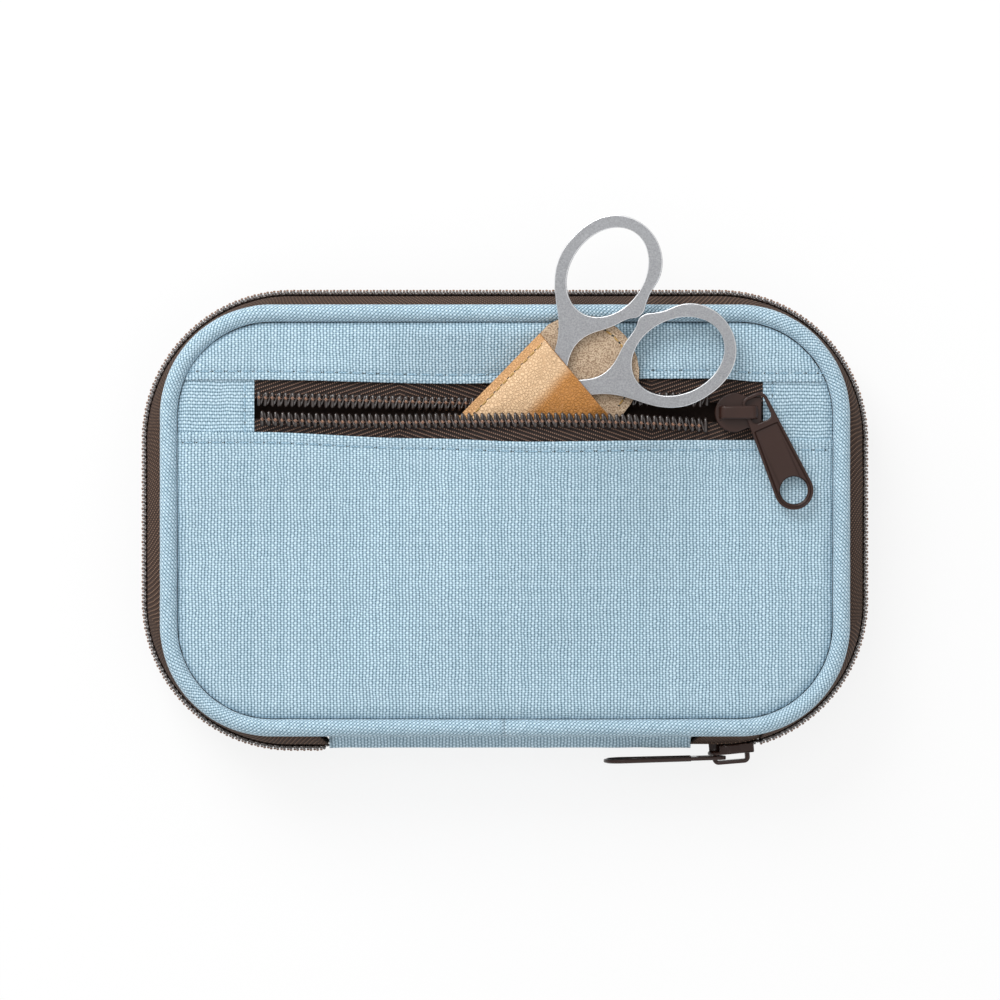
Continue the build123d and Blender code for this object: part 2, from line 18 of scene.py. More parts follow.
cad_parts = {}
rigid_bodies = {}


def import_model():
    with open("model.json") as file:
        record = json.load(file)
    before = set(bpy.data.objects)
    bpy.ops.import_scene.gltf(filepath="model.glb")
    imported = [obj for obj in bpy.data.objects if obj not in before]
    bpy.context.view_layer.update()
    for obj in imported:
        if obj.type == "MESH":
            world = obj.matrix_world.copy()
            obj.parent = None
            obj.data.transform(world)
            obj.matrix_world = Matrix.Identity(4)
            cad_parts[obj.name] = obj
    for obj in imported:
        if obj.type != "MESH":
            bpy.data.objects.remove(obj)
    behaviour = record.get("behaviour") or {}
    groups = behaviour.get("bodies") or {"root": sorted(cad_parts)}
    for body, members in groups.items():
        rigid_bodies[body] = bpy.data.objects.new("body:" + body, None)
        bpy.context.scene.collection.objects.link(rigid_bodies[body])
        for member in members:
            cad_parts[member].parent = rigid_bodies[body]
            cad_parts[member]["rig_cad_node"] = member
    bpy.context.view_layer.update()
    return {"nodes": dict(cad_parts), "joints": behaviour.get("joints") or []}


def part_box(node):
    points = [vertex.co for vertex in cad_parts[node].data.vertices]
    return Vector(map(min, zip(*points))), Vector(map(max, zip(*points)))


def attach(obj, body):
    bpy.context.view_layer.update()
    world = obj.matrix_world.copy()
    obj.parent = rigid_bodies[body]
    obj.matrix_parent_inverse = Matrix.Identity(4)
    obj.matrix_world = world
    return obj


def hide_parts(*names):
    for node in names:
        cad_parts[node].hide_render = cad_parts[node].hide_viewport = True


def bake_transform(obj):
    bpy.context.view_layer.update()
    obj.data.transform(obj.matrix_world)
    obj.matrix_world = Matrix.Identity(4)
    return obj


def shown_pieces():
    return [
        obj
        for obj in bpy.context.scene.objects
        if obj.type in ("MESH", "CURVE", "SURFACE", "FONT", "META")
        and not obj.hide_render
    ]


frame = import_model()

mm = 0.001
nodes = frame["nodes"]

# %% [markdown]
# ## Camera
# The photograph looks straight down from a little over a metre, so a long lens sits far
# above the case. The scale differs a little between the front plane and the zipper's plane,
# and that difference gives the height of the lens.

# %% Camera
camera_height = 1184 * mm
picture_width = 1000
pixels_per_mm = 4.075            # on the front plane
front_plane = 30.4 * mm
picture_centre = (-1.23 * mm, 5.03 * mm)

camera_data = bpy.data.cameras.new("camera")
camera = bpy.data.objects.new("camera", camera_data)
bpy.context.scene.collection.objects.link(camera)
camera.location = (*picture_centre, camera_height)
focal_pixels = pixels_per_mm / mm * (camera_height - front_plane)
camera_data.lens = camera_data.sensor_width * focal_pixels / picture_width
camera_data.clip_start = 0.05
camera_data.clip_end = 20
bpy.context.scene.camera = camera
bpy.context.scene.view_settings.view_transform = "Standard"
print("lens", round(camera_data.lens, 1), "mm")

# %% [markdown]
# ## Small helpers for materials
# A material is a small network of nodes. A value stands for one output of a node, and sums
# of values and numbers add the nodes that work them out, so a pattern reads like a formula.
# Sockets take either a number or a value.

# %% Material helpers


def linear(red, green, blue):
    """A colour as it is seen on a screen, from 0 to 255, in the linear values shaders use."""
    seen = [c / 255 for c in (red, green, blue)]
    values = [c / 12.92 if c <= 0.04045 else ((c + 0.055) / 1.055) ** 2.4 for c in seen]
    return (*values, 1.0)


class Value:
    """One output of a node. Sums with it make further nodes."""

    def __init__(self, node, output=0):
        self.socket = node.outputs[output]
        self.tree = node.id_data

    def math(self, operation, *others):
        return Value(add(self.tree, "ShaderNodeMath", enumerate((self, *others)), operation=operation))

    def __add__(self, other):
        return self.math("ADD", other)

    def __sub__(self, other):
        return self.math("SUBTRACT", other)

    def __mul__(self, other):
        return self.math("MULTIPLY", other)

    def __truediv__(self, other):
        return self.math("DIVIDE", other)


def feed(node, values=(), **named):
    """Sets sockets to numbers or joins them to values. In a name, _ stands for a space."""
    named = {label.replace("_", " "): value for label, value in named.items()}
    for label, value in {**dict(values), **named}.items():
        if isinstance(value, Value):
            node.id_data.links.new(value.socket, node.inputs[label])
        else:
            node.inputs[label].default_value = value
    return node


def add(tree, kind, values=(), **settings):
    """One node, with its settings and its sockets."""
    made = tree.nodes.new(kind)
    for key, value in settings.items():
        setattr(made, key, value)
    return feed(made, values)


def mix(share, a, b):
    """Two colours mixed by a share from 0 to 1."""
    return Value(add(share.tree, "ShaderNodeMix", {0: share, 6: a, 7: b}, data_type="RGBA"), 2)


def ramp(value, low, high, to_low=0.0, to_high=1.0):
    """A value moved from one range to another, smoothly and clamped."""
    return Value(add(value.tree, "ShaderNodeMapRange", {0: value, 1: low, 2: high, 3: to_low, 4: to_high},
                     interpolation_type="SMOOTHSTEP"))


def noisy(point, scale, detail=2.0, output="Fac"):
    """A cloudy value that wanders round a half."""
    values = {"Vector": point, "Scale": scale, "Detail": detail}
    return Value(add(point.tree, "ShaderNodeTexNoise", values), output)


def split(point):
    """The first two numbers of a point."""
    node = add(point.tree, "ShaderNodeSeparateXYZ", {0: point})
    return Value(node, 0), Value(node, 1)


def bump(height, distance, strength=1.0):
    """A normal that leans as if the height were raised by this distance."""
    values = {"Height": height, "Distance": distance, "Strength": strength}
    return Value(add(height.tree, "ShaderNodeBump", values))


# %% [markdown]
# An effect that several materials share is built once as a node group with its own inputs,
# and each material places it with its own values. Cloth reads its pattern from an attribute
# that bends with the piece, and the other finishes read the coordinates of the object.

# %% Groups and materials


def group(name, numbers, outputs):
    """An empty node group that takes a point and some numbers, with its inputs and its end."""
    tree = bpy.data.node_groups.new(name, "ShaderNodeTree")
    tree.interface.new_socket("Point", in_out="INPUT", socket_type="NodeSocketVector")
    for label, value in numbers.items():
        socket = tree.interface.new_socket(label, in_out="INPUT", socket_type="NodeSocketFloat")
        socket.default_value = value
    for label in outputs:
        tree.interface.new_socket(label, in_out="OUTPUT", socket_type="NodeSocketFloat")
    start = tree.nodes.new("NodeGroupInput")
    given = [Value(start, label) for label in ("Point", *numbers)]
    return tree, given, tree.nodes.new("NodeGroupOutput")


def use(made_group, point, **values):
    """The outputs of a group that is placed in a material."""
    node = add(point.tree, "ShaderNodeGroup", {"Point": point, **values}, node_tree=made_group)
    return [Value(node, output.name) for output in node.outputs]


def object_point(tree):
    """The place on the object, in metres."""
    return Value(add(tree, "ShaderNodeTexCoord"), "Object")


def cloth_point(tree):
    """The place on the cloth, in millimetres."""
    return Value(add(tree, "ShaderNodeAttribute", attribute_name="cloth"), "Vector")


def material(name, **sockets):
    """A material with one Principled shader, whose plain values are set here."""
    made = bpy.data.materials.new(name)
    made.use_nodes = True
    tree = made.node_tree
    return made, tree, feed(tree.nodes["Principled BSDF"], **sockets)


# %% [markdown]
# ## Cloth patterns as groups
# The canvas is a plain weave. Each yarn passes over one crossing and under the next, so the
# height at a point is the higher of two rounded ridges, each of which rises and dips along
# its length. The yarns that run up the picture stand prouder, and their highest tops are
# painted pale as a checker of highlights. Between them, where a yarn across is on top, the
# cloth is painted darker as shade. The pattern reads an attribute called cloth, the distance
# along and across the piece in millimetres, so it bends round a piping with it.

# %% Weave group


def make_weave():
    tree, (point, warp_pitch, weft_pitch), end = group(
        "weave", {"Warp": 0.81, "Weft": 0.58}, ("Height", "Gap", "Crown", "Yarn"))
    x, y = split(point)
    slub = noisy(point, 0.55, 1.0)
    sway = noisy(point, 0.16) * 0.9 - 0.45 + slub * 0.08
    v = (y + sway) / weft_pitch
    u = (x + sway) / warp_pitch + (v * pi).math("SINE") * 0.05

    def ridge(across, along, other_turn, low, rise):
        """A yarn's rounded back, on top where its turn comes."""
        place = across.math("FRACT") * 2.0 - 1.0
        back = (place * place * -1.0 + 1.0).math("SQRT")
        phase = (along - 0.5 + (across.math("FLOOR") + other_turn)) * pi
        turn = phase.math("COSINE") * 0.5 + 0.5
        return back * (turn * rise + low)

    warp = ridge(u, v, 0.0, 0.4, 0.6)
    weft = ridge(v, u, 1.0, 0.37, 0.31)
    height = warp.math("MAXIMUM", weft)
    # Height used for painted light: low places get painted shade in the gaps, the highest tops a painted
    # highlight.
    shading_height = height - 0.06 + slub * 0.12
    tones = []
    for index in ((3.0, v.math("FLOOR")), (u.math("FLOOR"), 7.0)):
        number = Value(add(tree, "ShaderNodeCombineXYZ", enumerate(index)))
        tones.append(Value(add(tree, "ShaderNodeTexWhiteNoise", {"Vector": number})))
    on_top = warp.math("GREATER_THAN", weft)
    yarn = Value(add(tree, "ShaderNodeMix", {0: on_top, 2: tones[0], 3: tones[1]}))
    feed(end, Height=height, Gap=ramp(shading_height, 0.7, 0.34), Crown=ramp(shading_height, 0.84, 1.0), Yarn=yarn)
    return tree


weave = make_weave()

# %% [markdown]
# The zipper tape is a herringbone twill: long slanted ribs, each a row of small thread tops,
# whose slant turns back after a while. A ping-pong of the distance along the tape bends
# straight ribs into chevrons.

# %% Herringbone group


def make_herringbone():
    tree, (point, rib_pitch, band, slant, dot_pitch), end = group(
        "herringbone", {"Rib": 1.0, "Band": 62.0, "Slant": 0.34, "Dot": 0.5}, ("Height", "Top"))
    x, y = split(point)
    rise = (x + 150.0).math("PINGPONG", band) * slant + y

    def wave(distance, pitch):
        """A wave from 0 to 1."""
        return (distance / pitch * (2 * pi)).math("SINE") * 0.5 + 0.5

    rib = wave(rise, rib_pitch)
    fine = wave(rise, rib_pitch * 0.5)
    dots = wave(x, dot_pitch)
    # Painted highlight: the tops of the ribs get a share that turns them a lighter brown.
    feed(end, Height=rib * 0.6 + dots * fine * 0.4, Top=ramp(rib, 0.6, 1.0) * ramp(dots, 0.2, 0.85))
    return tree


herringbone = make_herringbone()

# %% [markdown]
# Cloth is never one even tone. This group gives a slow cloudy change and a fine fibre
# speckle, and every soft material mixes a little of both into its colour.

# %% Mottle group


def make_mottle():
    tree, (point, cloud, fibre), end = group("mottle", {"Cloud": 60.0, "Fibre": 4000.0}, ("Cloud", "Fibre"))
    feed(end, Cloud=noisy(point, cloud, 3.0), Fibre=noisy(point, fibre, 4.0))
    return tree


mottle = make_mottle()


def mottled(tree, **scales):
    """The cloud and the fibre of the finish at a point of the object."""
    return use(mottle, object_point(tree), **scales)


# %% [markdown]
# ## Materials
# Canvas has pale yarn tops over darker gaps, the tops painted as highlight and the gaps as
# shade, and a soft sheen where fibres catch grazing light. The other cloths are the same
# weave in other sizes and colours.

# %% Cloth materials


def woven(name, top, side, gap, warp, weft, depth, crown_highlight=None, turned=0.0):
    """A plain-woven cloth: two yarn tones with a painted highlight on the highest tops and a darker gap
    colour painted as shade, with its yarns turned in its plane.
    """
    made, tree, shader = material(name, Roughness=0.85, Sheen_Weight=0.25, Sheen_Roughness=0.45,
                                  Specular_IOR_Level=0.25)
    point = cloth_point(tree)
    if turned:
        point = Value(add(tree, "ShaderNodeMapping", {"Vector": point, "Rotation": (0, 0, turned)}))
    height, gap_shade, crown_highlights, yarn = use(weave, point, Warp=warp, Weft=weft)
    cloud, fibre = mottled(tree)
    # Painted highlight: the highest yarn tops take the crown colour. Painted shade: the low gaps take the
    # gap colour.
    body = mix(crown_highlights, mix(yarn * 0.5 + 0.25, side, top), crown_highlight or top)
    shade = (cloud * 0.12 + 0.94) * (fibre * 0.14 + 0.93)
    colour = Value(add(tree, "ShaderNodeVectorMath", {0: mix(gap_shade, body, gap), "Scale": shade},
                       operation="SCALE"))
    feed(shader, Base_Color=colour, Normal=bump(fibre * 0.25 + height, depth))
    return made


# The gap colour is painted shade in the weave's low places, and the crown colour a painted highlight on its
# highest tops.
canvas_look = {"top": linear(190, 215, 230), "side": linear(162, 191, 207), "gap": linear(52, 86, 104),
               "crown_highlight": linear(222, 241, 251), "weft": 0.58}
canvas = woven("canvas", warp=0.81, depth=0.2 * mm, **canvas_look)
tab_canvas = woven("tab canvas", warp=0.81, depth=0.2 * mm, turned=pi / 2, **canvas_look)
piping_canvas = woven("piping canvas", warp=0.72, depth=0.18 * mm, turned=pi / 4, **canvas_look)
lining_cloth = woven("lining cloth", linear(226, 219, 203), linear(214, 205, 188), linear(165, 154, 136),
                     0.36, 0.32, 0.05 * mm)
# Painted shade: the pocket's lining is coloured dark brown to stand for the shade inside the open pocket.
pocket_shade_cloth = woven("pocket cloth painted shade", linear(62, 47, 40), linear(52, 38, 32), linear(24, 17, 14),
                     0.36, 0.32, 0.05 * mm)
elastic_cloth = woven("elastic cloth", linear(84, 64, 54), linear(72, 53, 44), linear(36, 26, 22),
                      0.9, 0.5, 0.12 * mm)
binding_cloth = woven("binding cloth", linear(96, 74, 62), linear(82, 62, 52), linear(44, 33, 28),
                      0.5, 0.8, 0.09 * mm)


def make_tape(name, deep, low, high, **pattern):
    """Zipper tape: dark twill whose thread tops are painted a lighter brown as highlights."""
    made, tree, shader = material(name, Roughness=0.7, Specular_IOR_Level=0.3)
    height, top_glints = use(herringbone, cloth_point(tree), **pattern)
    _, fibre = mottled(tree)
    feed(shader, Base_Color=mix(top_glints, deep, mix(fibre, low, high)), Normal=bump(height, 0.16 * mm))
    return made


def make_thread(name, colour, dark):
    """Twisted sewing thread: slanted plies and a dull shine."""
    made, tree, shader = material(name, Roughness=0.55, Sheen_Weight=0.3)
    values = {"Vector": object_point(tree), "Scale": 900.0, "Distortion": 1.5}
    plies = Value(add(tree, "ShaderNodeTexWave", values, bands_direction="DIAGONAL"), "Fac")
    feed(shader, Base_Color=mix(plies, dark, colour), Normal=bump(plies, 0.05 * mm))
    return made


# The two lighter browns of each tape are painted highlights on its thread tops, over the deep brown.
tape_cloth = make_tape("zipper tape", linear(30, 20, 17), linear(100, 71, 58), linear(176, 142, 122))
edge_tape_cloth = make_tape("edge zipper tape", linear(56, 40, 32), linear(112, 86, 70),
                            linear(150, 122, 102), Rib=0.8, Slant=0.7)
canvas_thread = make_thread("canvas thread", linear(158, 190, 208), linear(112, 148, 170))
ochre_thread = make_thread("ochre thread", linear(206, 166, 92), linear(150, 112, 52))
coil_thread = make_thread("coil thread", linear(162, 120, 94), linear(96, 64, 48))
lining_thread = make_thread("lining thread", linear(236, 229, 214), linear(196, 186, 168))

# %% [markdown]
# The coil is nylon, a dark brown plastic with small clear highlights. The sliders and their
# pulls are cast metal under brown paint: a gloss coat over a body colour, with a faint
# orange-peel ripple. The scissors are stamped steel with an even satin face, and a rolled
# edge round it that is coloured a much lighter steel as a painted highlight.

# %% Plain finishes


def plain(name, by, low, high, grain=0.0, rough=None, ripple=0.0, scales=(60.0, 4000.0), **sockets):
    """A finish that goes between two tones with its cloud (by is 0) or its fibre (1). The
    fibre also gives its grain, and with rough it varies the roughness. A ripple is a wave
    under the coat."""
    made, tree, shader = material(name, **sockets)
    tones = mottled(tree, Cloud=scales[0], Fibre=scales[1])
    feed(shader, Base_Color=mix(tones[by], low, high))
    if rough is not None:
        feed(shader, Roughness=tones[1] * 0.1 + rough)
    if grain:
        feed(shader, Normal=bump(tones[1], grain))
    if ripple:
        feed(shader, Normal=bump(noisy(object_point(tree), 700.0), ripple, 0.5))
    return made


coil_nylon = plain("coil nylon", 0, linear(32, 24, 22), linear(58, 46, 42), rough=0.1,
                   scales=(300.0, 2500.0), IOR=1.6, Coat_Weight=0.8, Coat_Roughness=0.05, Coat_IOR=1.5)
slider_paint = plain("brown slider paint", 0, linear(46, 26, 19), linear(54, 32, 25), rough=0.4,
                     ripple=0.03 * mm, scales=(220.0, 3000.0), Specular_IOR_Level=0.2, Coat_Weight=0.45,
                     Coat_Roughness=0.08, Coat_IOR=1.45)
satin_steel = plain("satin steel", 1, linear(118, 119, 122), linear(188, 189, 192), 0.016 * mm, rough=0.36,
                    scales=(40.0, 2600.0), Metallic=1.0)
# Painted highlight: the rounded edges of the scissors take this much lighter steel.
highlight_steel_edge = plain("steel edge painted highlight", 1, linear(222, 223, 225), linear(236, 237, 239), 0.003 * mm,
                     rough=0.24, scales=(40.0, 2600.0), Metallic=1.0)
board = plain("stiffener board", 1, linear(128, 122, 114), linear(170, 164, 154), 0.05 * mm,
              scales=(400.0, 2000.0), Roughness=0.9)
burnished = plain("burnished edge", 0, linear(170, 112, 60), linear(214, 158, 98), 0.06 * mm,
                  scales=(500.0, 4000.0), Roughness=0.55)
# Painted shade: the dark disc at each end of a stitch stands for the shade inside the needle's hole.
hole_shade, _, _ = material("needle hole painted shade", Roughness=1.0, Base_Color=linear(58, 64, 62),
                             Specular_IOR_Level=0.0)

# %% [markdown]
# The sheath is vegetable-tanned leather. Its outside has a pebbled grain, and it is painted
# from pale tan to a deeper orange towards the right, where the flap falls away; that deeper
# orange is painted shade. Its inside is the flesh side, a dull nap with no shine at all.

# %% Leather


def make_leather():
    """The cloth attribute holds u and w, the way along the sheath and across it. The right part
    of the flap is painted a deeper orange as shade. The band outside the left row of stitches
    is pressed and darker."""
    made, tree, shader = material("tan leather", Specular_IOR_Level=0.42)
    point = object_point(tree)
    fold = noisy(point, 600.0, 3.0)
    drift = noisy(point, 1300.0, output="Color")
    bent = Value(add(tree, "ShaderNodeVectorMath", {0: drift, 1: (0.6 * mm, 0.6 * mm, 0.6 * mm), 2: point},
                     operation="MULTIPLY_ADD"))
    pebble = Value(add(tree, "ShaderNodeTexVoronoi", {"Vector": bent, "Scale": 1350.0},
                       feature="DISTANCE_TO_EDGE"), "Distance")
    crack = ramp(fold * 0.1 + pebble, 0.24, 0.06)
    cloud, _ = mottled(tree, Cloud=70.0, Fibre=3000.0)
    u, w = split(cloth_point(tree))
    # Painted shade: the flap turns a deeper orange to the right of a slanted line, where it falls away.
    painted_shade_share = ramp(u * 0.131 + 0.53 - w + (cloud * 4.0 - 2.0), -1.0, 2.8)
    pale = mix(cloud, linear(222, 184, 142), linear(238, 204, 164))
    dark = mix(cloud, linear(182, 120, 52), linear(198, 138, 72))
    colour = mix(painted_shade_share, pale, dark)
    to_edge = u * 0.0998 + 11.5 - w
    colour = mix(ramp(to_edge, 2.4, 1.7, 0.0, 0.7), colour, linear(206, 150, 88))
    colour = mix(crack * 0.27, colour, linear(146, 94, 48))
    feed(shader, Base_Color=colour, Normal=bump(fold * 0.8 - crack * 0.7, 0.19 * mm),
         Roughness=fold * 0.2 + 0.38)
    return made


def make_suede():
    made, tree, shader = material("suede flesh side", Roughness=0.95, Sheen_Weight=0.5, Sheen_Roughness=0.6,
                                  Specular_IOR_Level=0.1)
    cloud, fibre = mottled(tree, Cloud=400.0, Fibre=3000.0)
    colour = mix(cloud, linear(184, 158, 130), linear(220, 198, 170))
    colour = mix(ramp(fibre, 0.56, 0.4, 0.0, 0.85), colour, linear(132, 104, 78))
    feed(shader, Base_Color=colour, Normal=bump(cloud * 0.5 + fibre, 0.22 * mm))
    return made


grain_leather = make_leather()
suede = make_suede()

# %% [markdown]
# ## Rings round the case
# The piping and the zipper follow rounded rectangles. A ring measures its size and corner on
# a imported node, and walks round anticlockwise from the left end of the lower side. Two rings
# of different size match point for point, so a tape can slope from one to the other.

# %% Rings


def even(start, end, count):
    """Even steps from start to end, with both."""
    return [start + (end - start) * i / count for i in range(count + 1)]


def corner_of(name, half_x, half_y):
    """Corner radius of a node's outline, from how far it reaches along the diagonal."""
    reach = max((v.co.x + v.co.y) / sqrt(2) for v in nodes[name].data.vertices)
    return ((half_x + half_y) / sqrt(2) - reach) / (sqrt(2) - 1)


class Ring:
    """A rounded rectangle round the middle of the case."""

    def __init__(self, half_x, half_y, corner):
        self.half_x, self.half_y, self.corner = half_x, half_y, corner
        self.flat_x, self.flat_y = half_x - corner, half_y - corner
        quarter = corner * pi / 2
        self.lengths = [2 * self.flat_x, quarter, 2 * self.flat_y, quarter] * 2

    @classmethod
    def of(cls, name):
        low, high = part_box(name)
        half_x, half_y = (high.x - low.x) / 2, (high.y - low.y) / 2
        return cls(half_x, half_y, corner_of(name, half_x, half_y))

    def grown(self, margin):
        return Ring(self.half_x + margin, self.half_y + margin, self.corner + margin)

    def at(self, place):
        """Point and outward direction. Whole places are the ends of sides and corners."""
        part, share = int(place) % 8, place - int(place)
        turn = (part // 2) * pi / 2
        if part % 2 == 0:
            half_along = self.lengths[part] / 2
            half_out = (self.half_y, self.half_x)[part // 2 % 2]
            point = Vector((half_along * (2 * share - 1), -half_out))
            out = Vector((0, -1))
            turned = Matrix.Rotation(turn, 2)
            return turned @ point, turned @ out
        signs = [(1, -1), (1, 1), (-1, 1), (-1, -1)][part // 2]
        centre = Vector((signs[0] * self.flat_x, signs[1] * self.flat_y))
        angle = turn - pi / 2 + share * pi / 2
        out = Vector((cos(angle), sin(angle)))
        return centre + out * self.corner, out

    def place_at(self, distance):
        """The place that lies this far along from the start."""
        lap = 0
        total = sum(self.lengths)
        while distance >= total:
            distance -= total
            lap += 8
        for part, length in enumerate(self.lengths):
            if distance < length:
                return lap + part + distance / length
            distance -= length
        return lap + 8.0

    def distance_to(self, place):
        whole = int(place)
        behind = sum(self.lengths[i % 8] for i in range(whole))
        return behind + self.lengths[whole % 8] * (place - whole)

    def places(self, first, last, step):
        """Evenly spaced places between two others."""
        start, end = self.distance_to(first), self.distance_to(last)
        count = max(2, ceil((end - start) / step))
        return [self.place_at(distance) for distance in even(start, end, count)]

    def inside(self, x, y):
        """How far inside the ring a point lies."""
        over_x, over_y = abs(x) - self.flat_x, abs(y) - self.flat_y
        outer = hypot(max(over_x, 0), max(over_y, 0)) + min(max(over_x, over_y), 0)
        return self.corner - outer


body_ring = Ring.of("front_piping")
chain_ring = Ring.of("front_coil")
piping_low, piping_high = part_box("front_piping")
piping_r = (piping_high.z - piping_low.z) / 2
piping_ring = body_ring.grown(-piping_r)
front_seam_z = (piping_low.z + piping_high.z) / 2
back_seam_z = sum(p.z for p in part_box("back_piping")) / 2
mid_z = (front_seam_z + back_seam_z) / 2
print("piping radius", round(piping_r / mm, 2), "chain corner", round(chain_ring.corner / mm, 1))

# %% [markdown]
# ## From a mesh to a piece
# Every piece is a mesh whose points are in their final place, with the object itself at the
# origin. So patterns that read the object's coordinates fit from one piece to the next, and
# the piece only has to be told which part of the case it rides on.

# %% Pieces


def wavy(x, y, pitch, seed, size):
    """A height that wanders over a sheet or along a line. Each seed has waves of its own."""
    return noise.noise(Vector((x / pitch, y / pitch, seed))) * size


def finish_mesh(name, bm, finish, body, smooth=True):
    """Turns a bmesh into a piece at the origin, smooth, with its finish, riding on its body."""
    mesh = bpy.data.meshes.new(name)
    bm.to_mesh(mesh)
    bm.free()
    return place_mesh(name, mesh, finish, body, smooth)


def place_mesh(name, mesh, finish, body, smooth=True):
    """Makes a finished mesh a piece of the case."""
    piece = bpy.data.objects.new(name, mesh)
    bpy.context.scene.collection.objects.link(piece)
    mesh.materials.clear()
    mesh.materials.append(finish)
    if smooth:
        mesh.shade_smooth()
    if body:
        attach(piece, body)
    print(name, len(mesh.polygons), "faces")
    return piece


# %% [markdown]
# ## Sweeps
# Tapes, pipings and strips are long pieces with one section. That section is drawn once and
# extruded edge by edge, and each new section is moved to its place. A curve with a bevel
# could do it as well, but it turns the section in its own way and keeps no measure of the
# way along, which the cloth patterns need.

# %% Sweep


def sweep(name, sections, distances, finish, body, source=None, closed=True):
    """A skin along sections of equal count. cloth keeps the way along and round, in mm."""
    bm = bmesh.new()
    slot_layer = bm.verts.layers.int.new("slot")
    cloth = bm.verts.layers.float_vector.new("cloth")
    around = [0.0]
    for a, b in zip(sections[0], sections[0][1:]):
        around.append(around[-1] + (Vector(b) - Vector(a)).length / mm)
    row = [bm.verts.new(p) for p in sections[0]]
    for i, vert in enumerate(row):
        vert[slot_layer] = i
        vert[cloth] = (distances[0] / mm, around[i], 0)
    edges = [bm.edges.new(pair) for pair in zip(row, row[1:])]
    if closed:
        edges.append(bm.edges.new((row[-1], row[0])))
        bm.faces.new(row)
    for section, distance in zip(sections[1:], distances[1:]):
        made = bmesh.ops.extrude_edge_only(bm, edges=edges)["geom"]
        edges = [g for g in made if isinstance(g, bmesh.types.BMEdge)]
        row = [g for g in made if isinstance(g, bmesh.types.BMVert)]
        for vert in row:
            i = vert[slot_layer]
            vert.co = section[i]
            vert[cloth] = (distance / mm, around[i], 0)
    if closed:
        bm.faces.new(sorted(row, key=lambda v: v[slot_layer]))
    bmesh.ops.recalc_face_normals(bm, faces=bm.faces)
    piece = finish_mesh(name, bm, finish, body)
    if source:
        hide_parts(source)
    return piece


def round_ring(ring, places, z, profile):
    """Sections for a sweep round a ring: profile points are (out, up) from the ring."""
    sections = []
    for place in places:
        point, out = ring.at(place)
        sections.append([(point.x + out.x * a, point.y + out.y * a, z + b) for a, b in profile])
    return sections, [ring.distance_to(p) for p in places]


# %% [markdown]
# ## Flat sheets
# A sewn sheet starts as an even grid, because cloth needs points all over it to drape.
# Planes trim the grid to its outline. They leave clean edges without loose slivers, where
# a boolean with a solid would be slower and rougher.

# %% Trimmed sheets


def cut(bm, point, outward, trim=True):
    """Cuts a sheet along a plane. It drops what lies outward, or only adds points there."""
    everything = bm.verts[:] + bm.edges[:] + bm.faces[:]
    bmesh.ops.bisect_plane(bm, geom=everything, dist=1e-6, plane_co=(*point, 0), plane_no=(*outward, 0),
                           clear_outer=trim)


def trimmed_sheet(low, high, step, planes):
    """A grid between two corners, cut to an outline by planes given as (point, outward)."""
    bm = bmesh.new()
    wide, tall = high[0] - low[0], high[1] - low[1]
    middle = Matrix.Translation(Vector(((low[0] + high[0]) / 2, (low[1] + high[1]) / 2, 0)))
    bmesh.ops.create_grid(bm, x_segments=ceil(wide / step), y_segments=ceil(tall / step), size=0.5,
                          matrix=middle @ Matrix.Diagonal((wide, tall, 1, 1)))
    for point, outward in planes:
        cut(bm, point, outward)
    return bm


def chord_plane(start, end):
    """The plane along a chord of an anticlockwise outline."""
    along = end - start
    return start, Vector((along.y, -along.x)).normalized()


def ring_planes(ring, parts=range(8), per_corner=9):
    """Planes along the sides and chords of a ring, for the parts that are wanted."""
    planes = []
    for part in parts:
        steps = 1 if part % 2 == 0 else per_corner
        for i in range(steps):
            start, _ = ring.at(part + i / steps)
            end, _ = ring.at(part + (i + 1) / steps - 1e-9)
            if (end - start).length > 1e-9:
                planes.append(chord_plane(start, end))
    return planes


def face(bm, up):
    """Turns all faces of a sheet up, or down where up is negative."""
    bmesh.ops.recalc_face_normals(bm, faces=bm.faces)
    if sum(f.normal.z * f.calc_area() for f in bm.faces) * up < 0:
        bmesh.ops.reverse_faces(bm, faces=bm.faces)


# %% [markdown]
# ## Surfaces found by rays
# Cloth rests on what is beneath it, and a stitch on the cloth. A ray that is shot straight
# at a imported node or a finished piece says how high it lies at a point. A shrinkwrap
# modifier would move a sheet too, but here the heights are wanted as numbers.

# %% Surfaces


class Surface:
    """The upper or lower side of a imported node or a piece, found by rays."""

    def __init__(self, mesh, side=1):
        bm = bmesh.new()
        bm.from_mesh(mesh)
        self.tree = BVHTree.FromBMesh(bm)
        xs, ys, zs = zip(*(v.co for v in bm.verts))
        self.centre = Vector(((min(xs) + max(xs)) / 2, (min(ys) + max(ys)) / 2))
        self.far = max(zs) + 0.01 if side > 0 else min(zs) - 0.01
        self.side = side
        bm.free()

    def hit(self, x, y):
        """Height over a point, or None where the surface has none."""
        found = self.tree.ray_cast(Vector((x, y, self.far)), Vector((0, 0, -self.side)))[0]
        return None if found is None else found.z

    def height(self, x, y):
        """Height over a point, or over the nearest point towards the middle."""
        point = Vector((x, y))
        for pull in (0, 0.004, 0.01, 0.02, 0.04, 0.08, 0.16, 0.3, 0.4, 0.5, 0.7):
            found = self.hit(*point.lerp(self.centre, pull))
            if found is not None:
                return found
        return None

    def spot(self, x, y):
        return Vector((x, y, self.height(x, y)))

    def scan(self, x, low_y, high_y, step=0.1 * mm):
        """The points (y, z) that rays hit along a line at this X."""
        ys = [low_y + j * step for j in range(int((high_y - low_y) / step) + 2)]
        found = [(y, self.hit(x, y)) for y in ys]
        return [(y, z) for y, z in found if z is not None]


# %% [markdown]
# ## Thickness and rounded edges
# A sheet is modelled as its outer face alone. A Solidify modifier gives it the thickness of
# the material, and a small Bevel rounds the cut edge, so both stay easy to change.

# %% Thickness


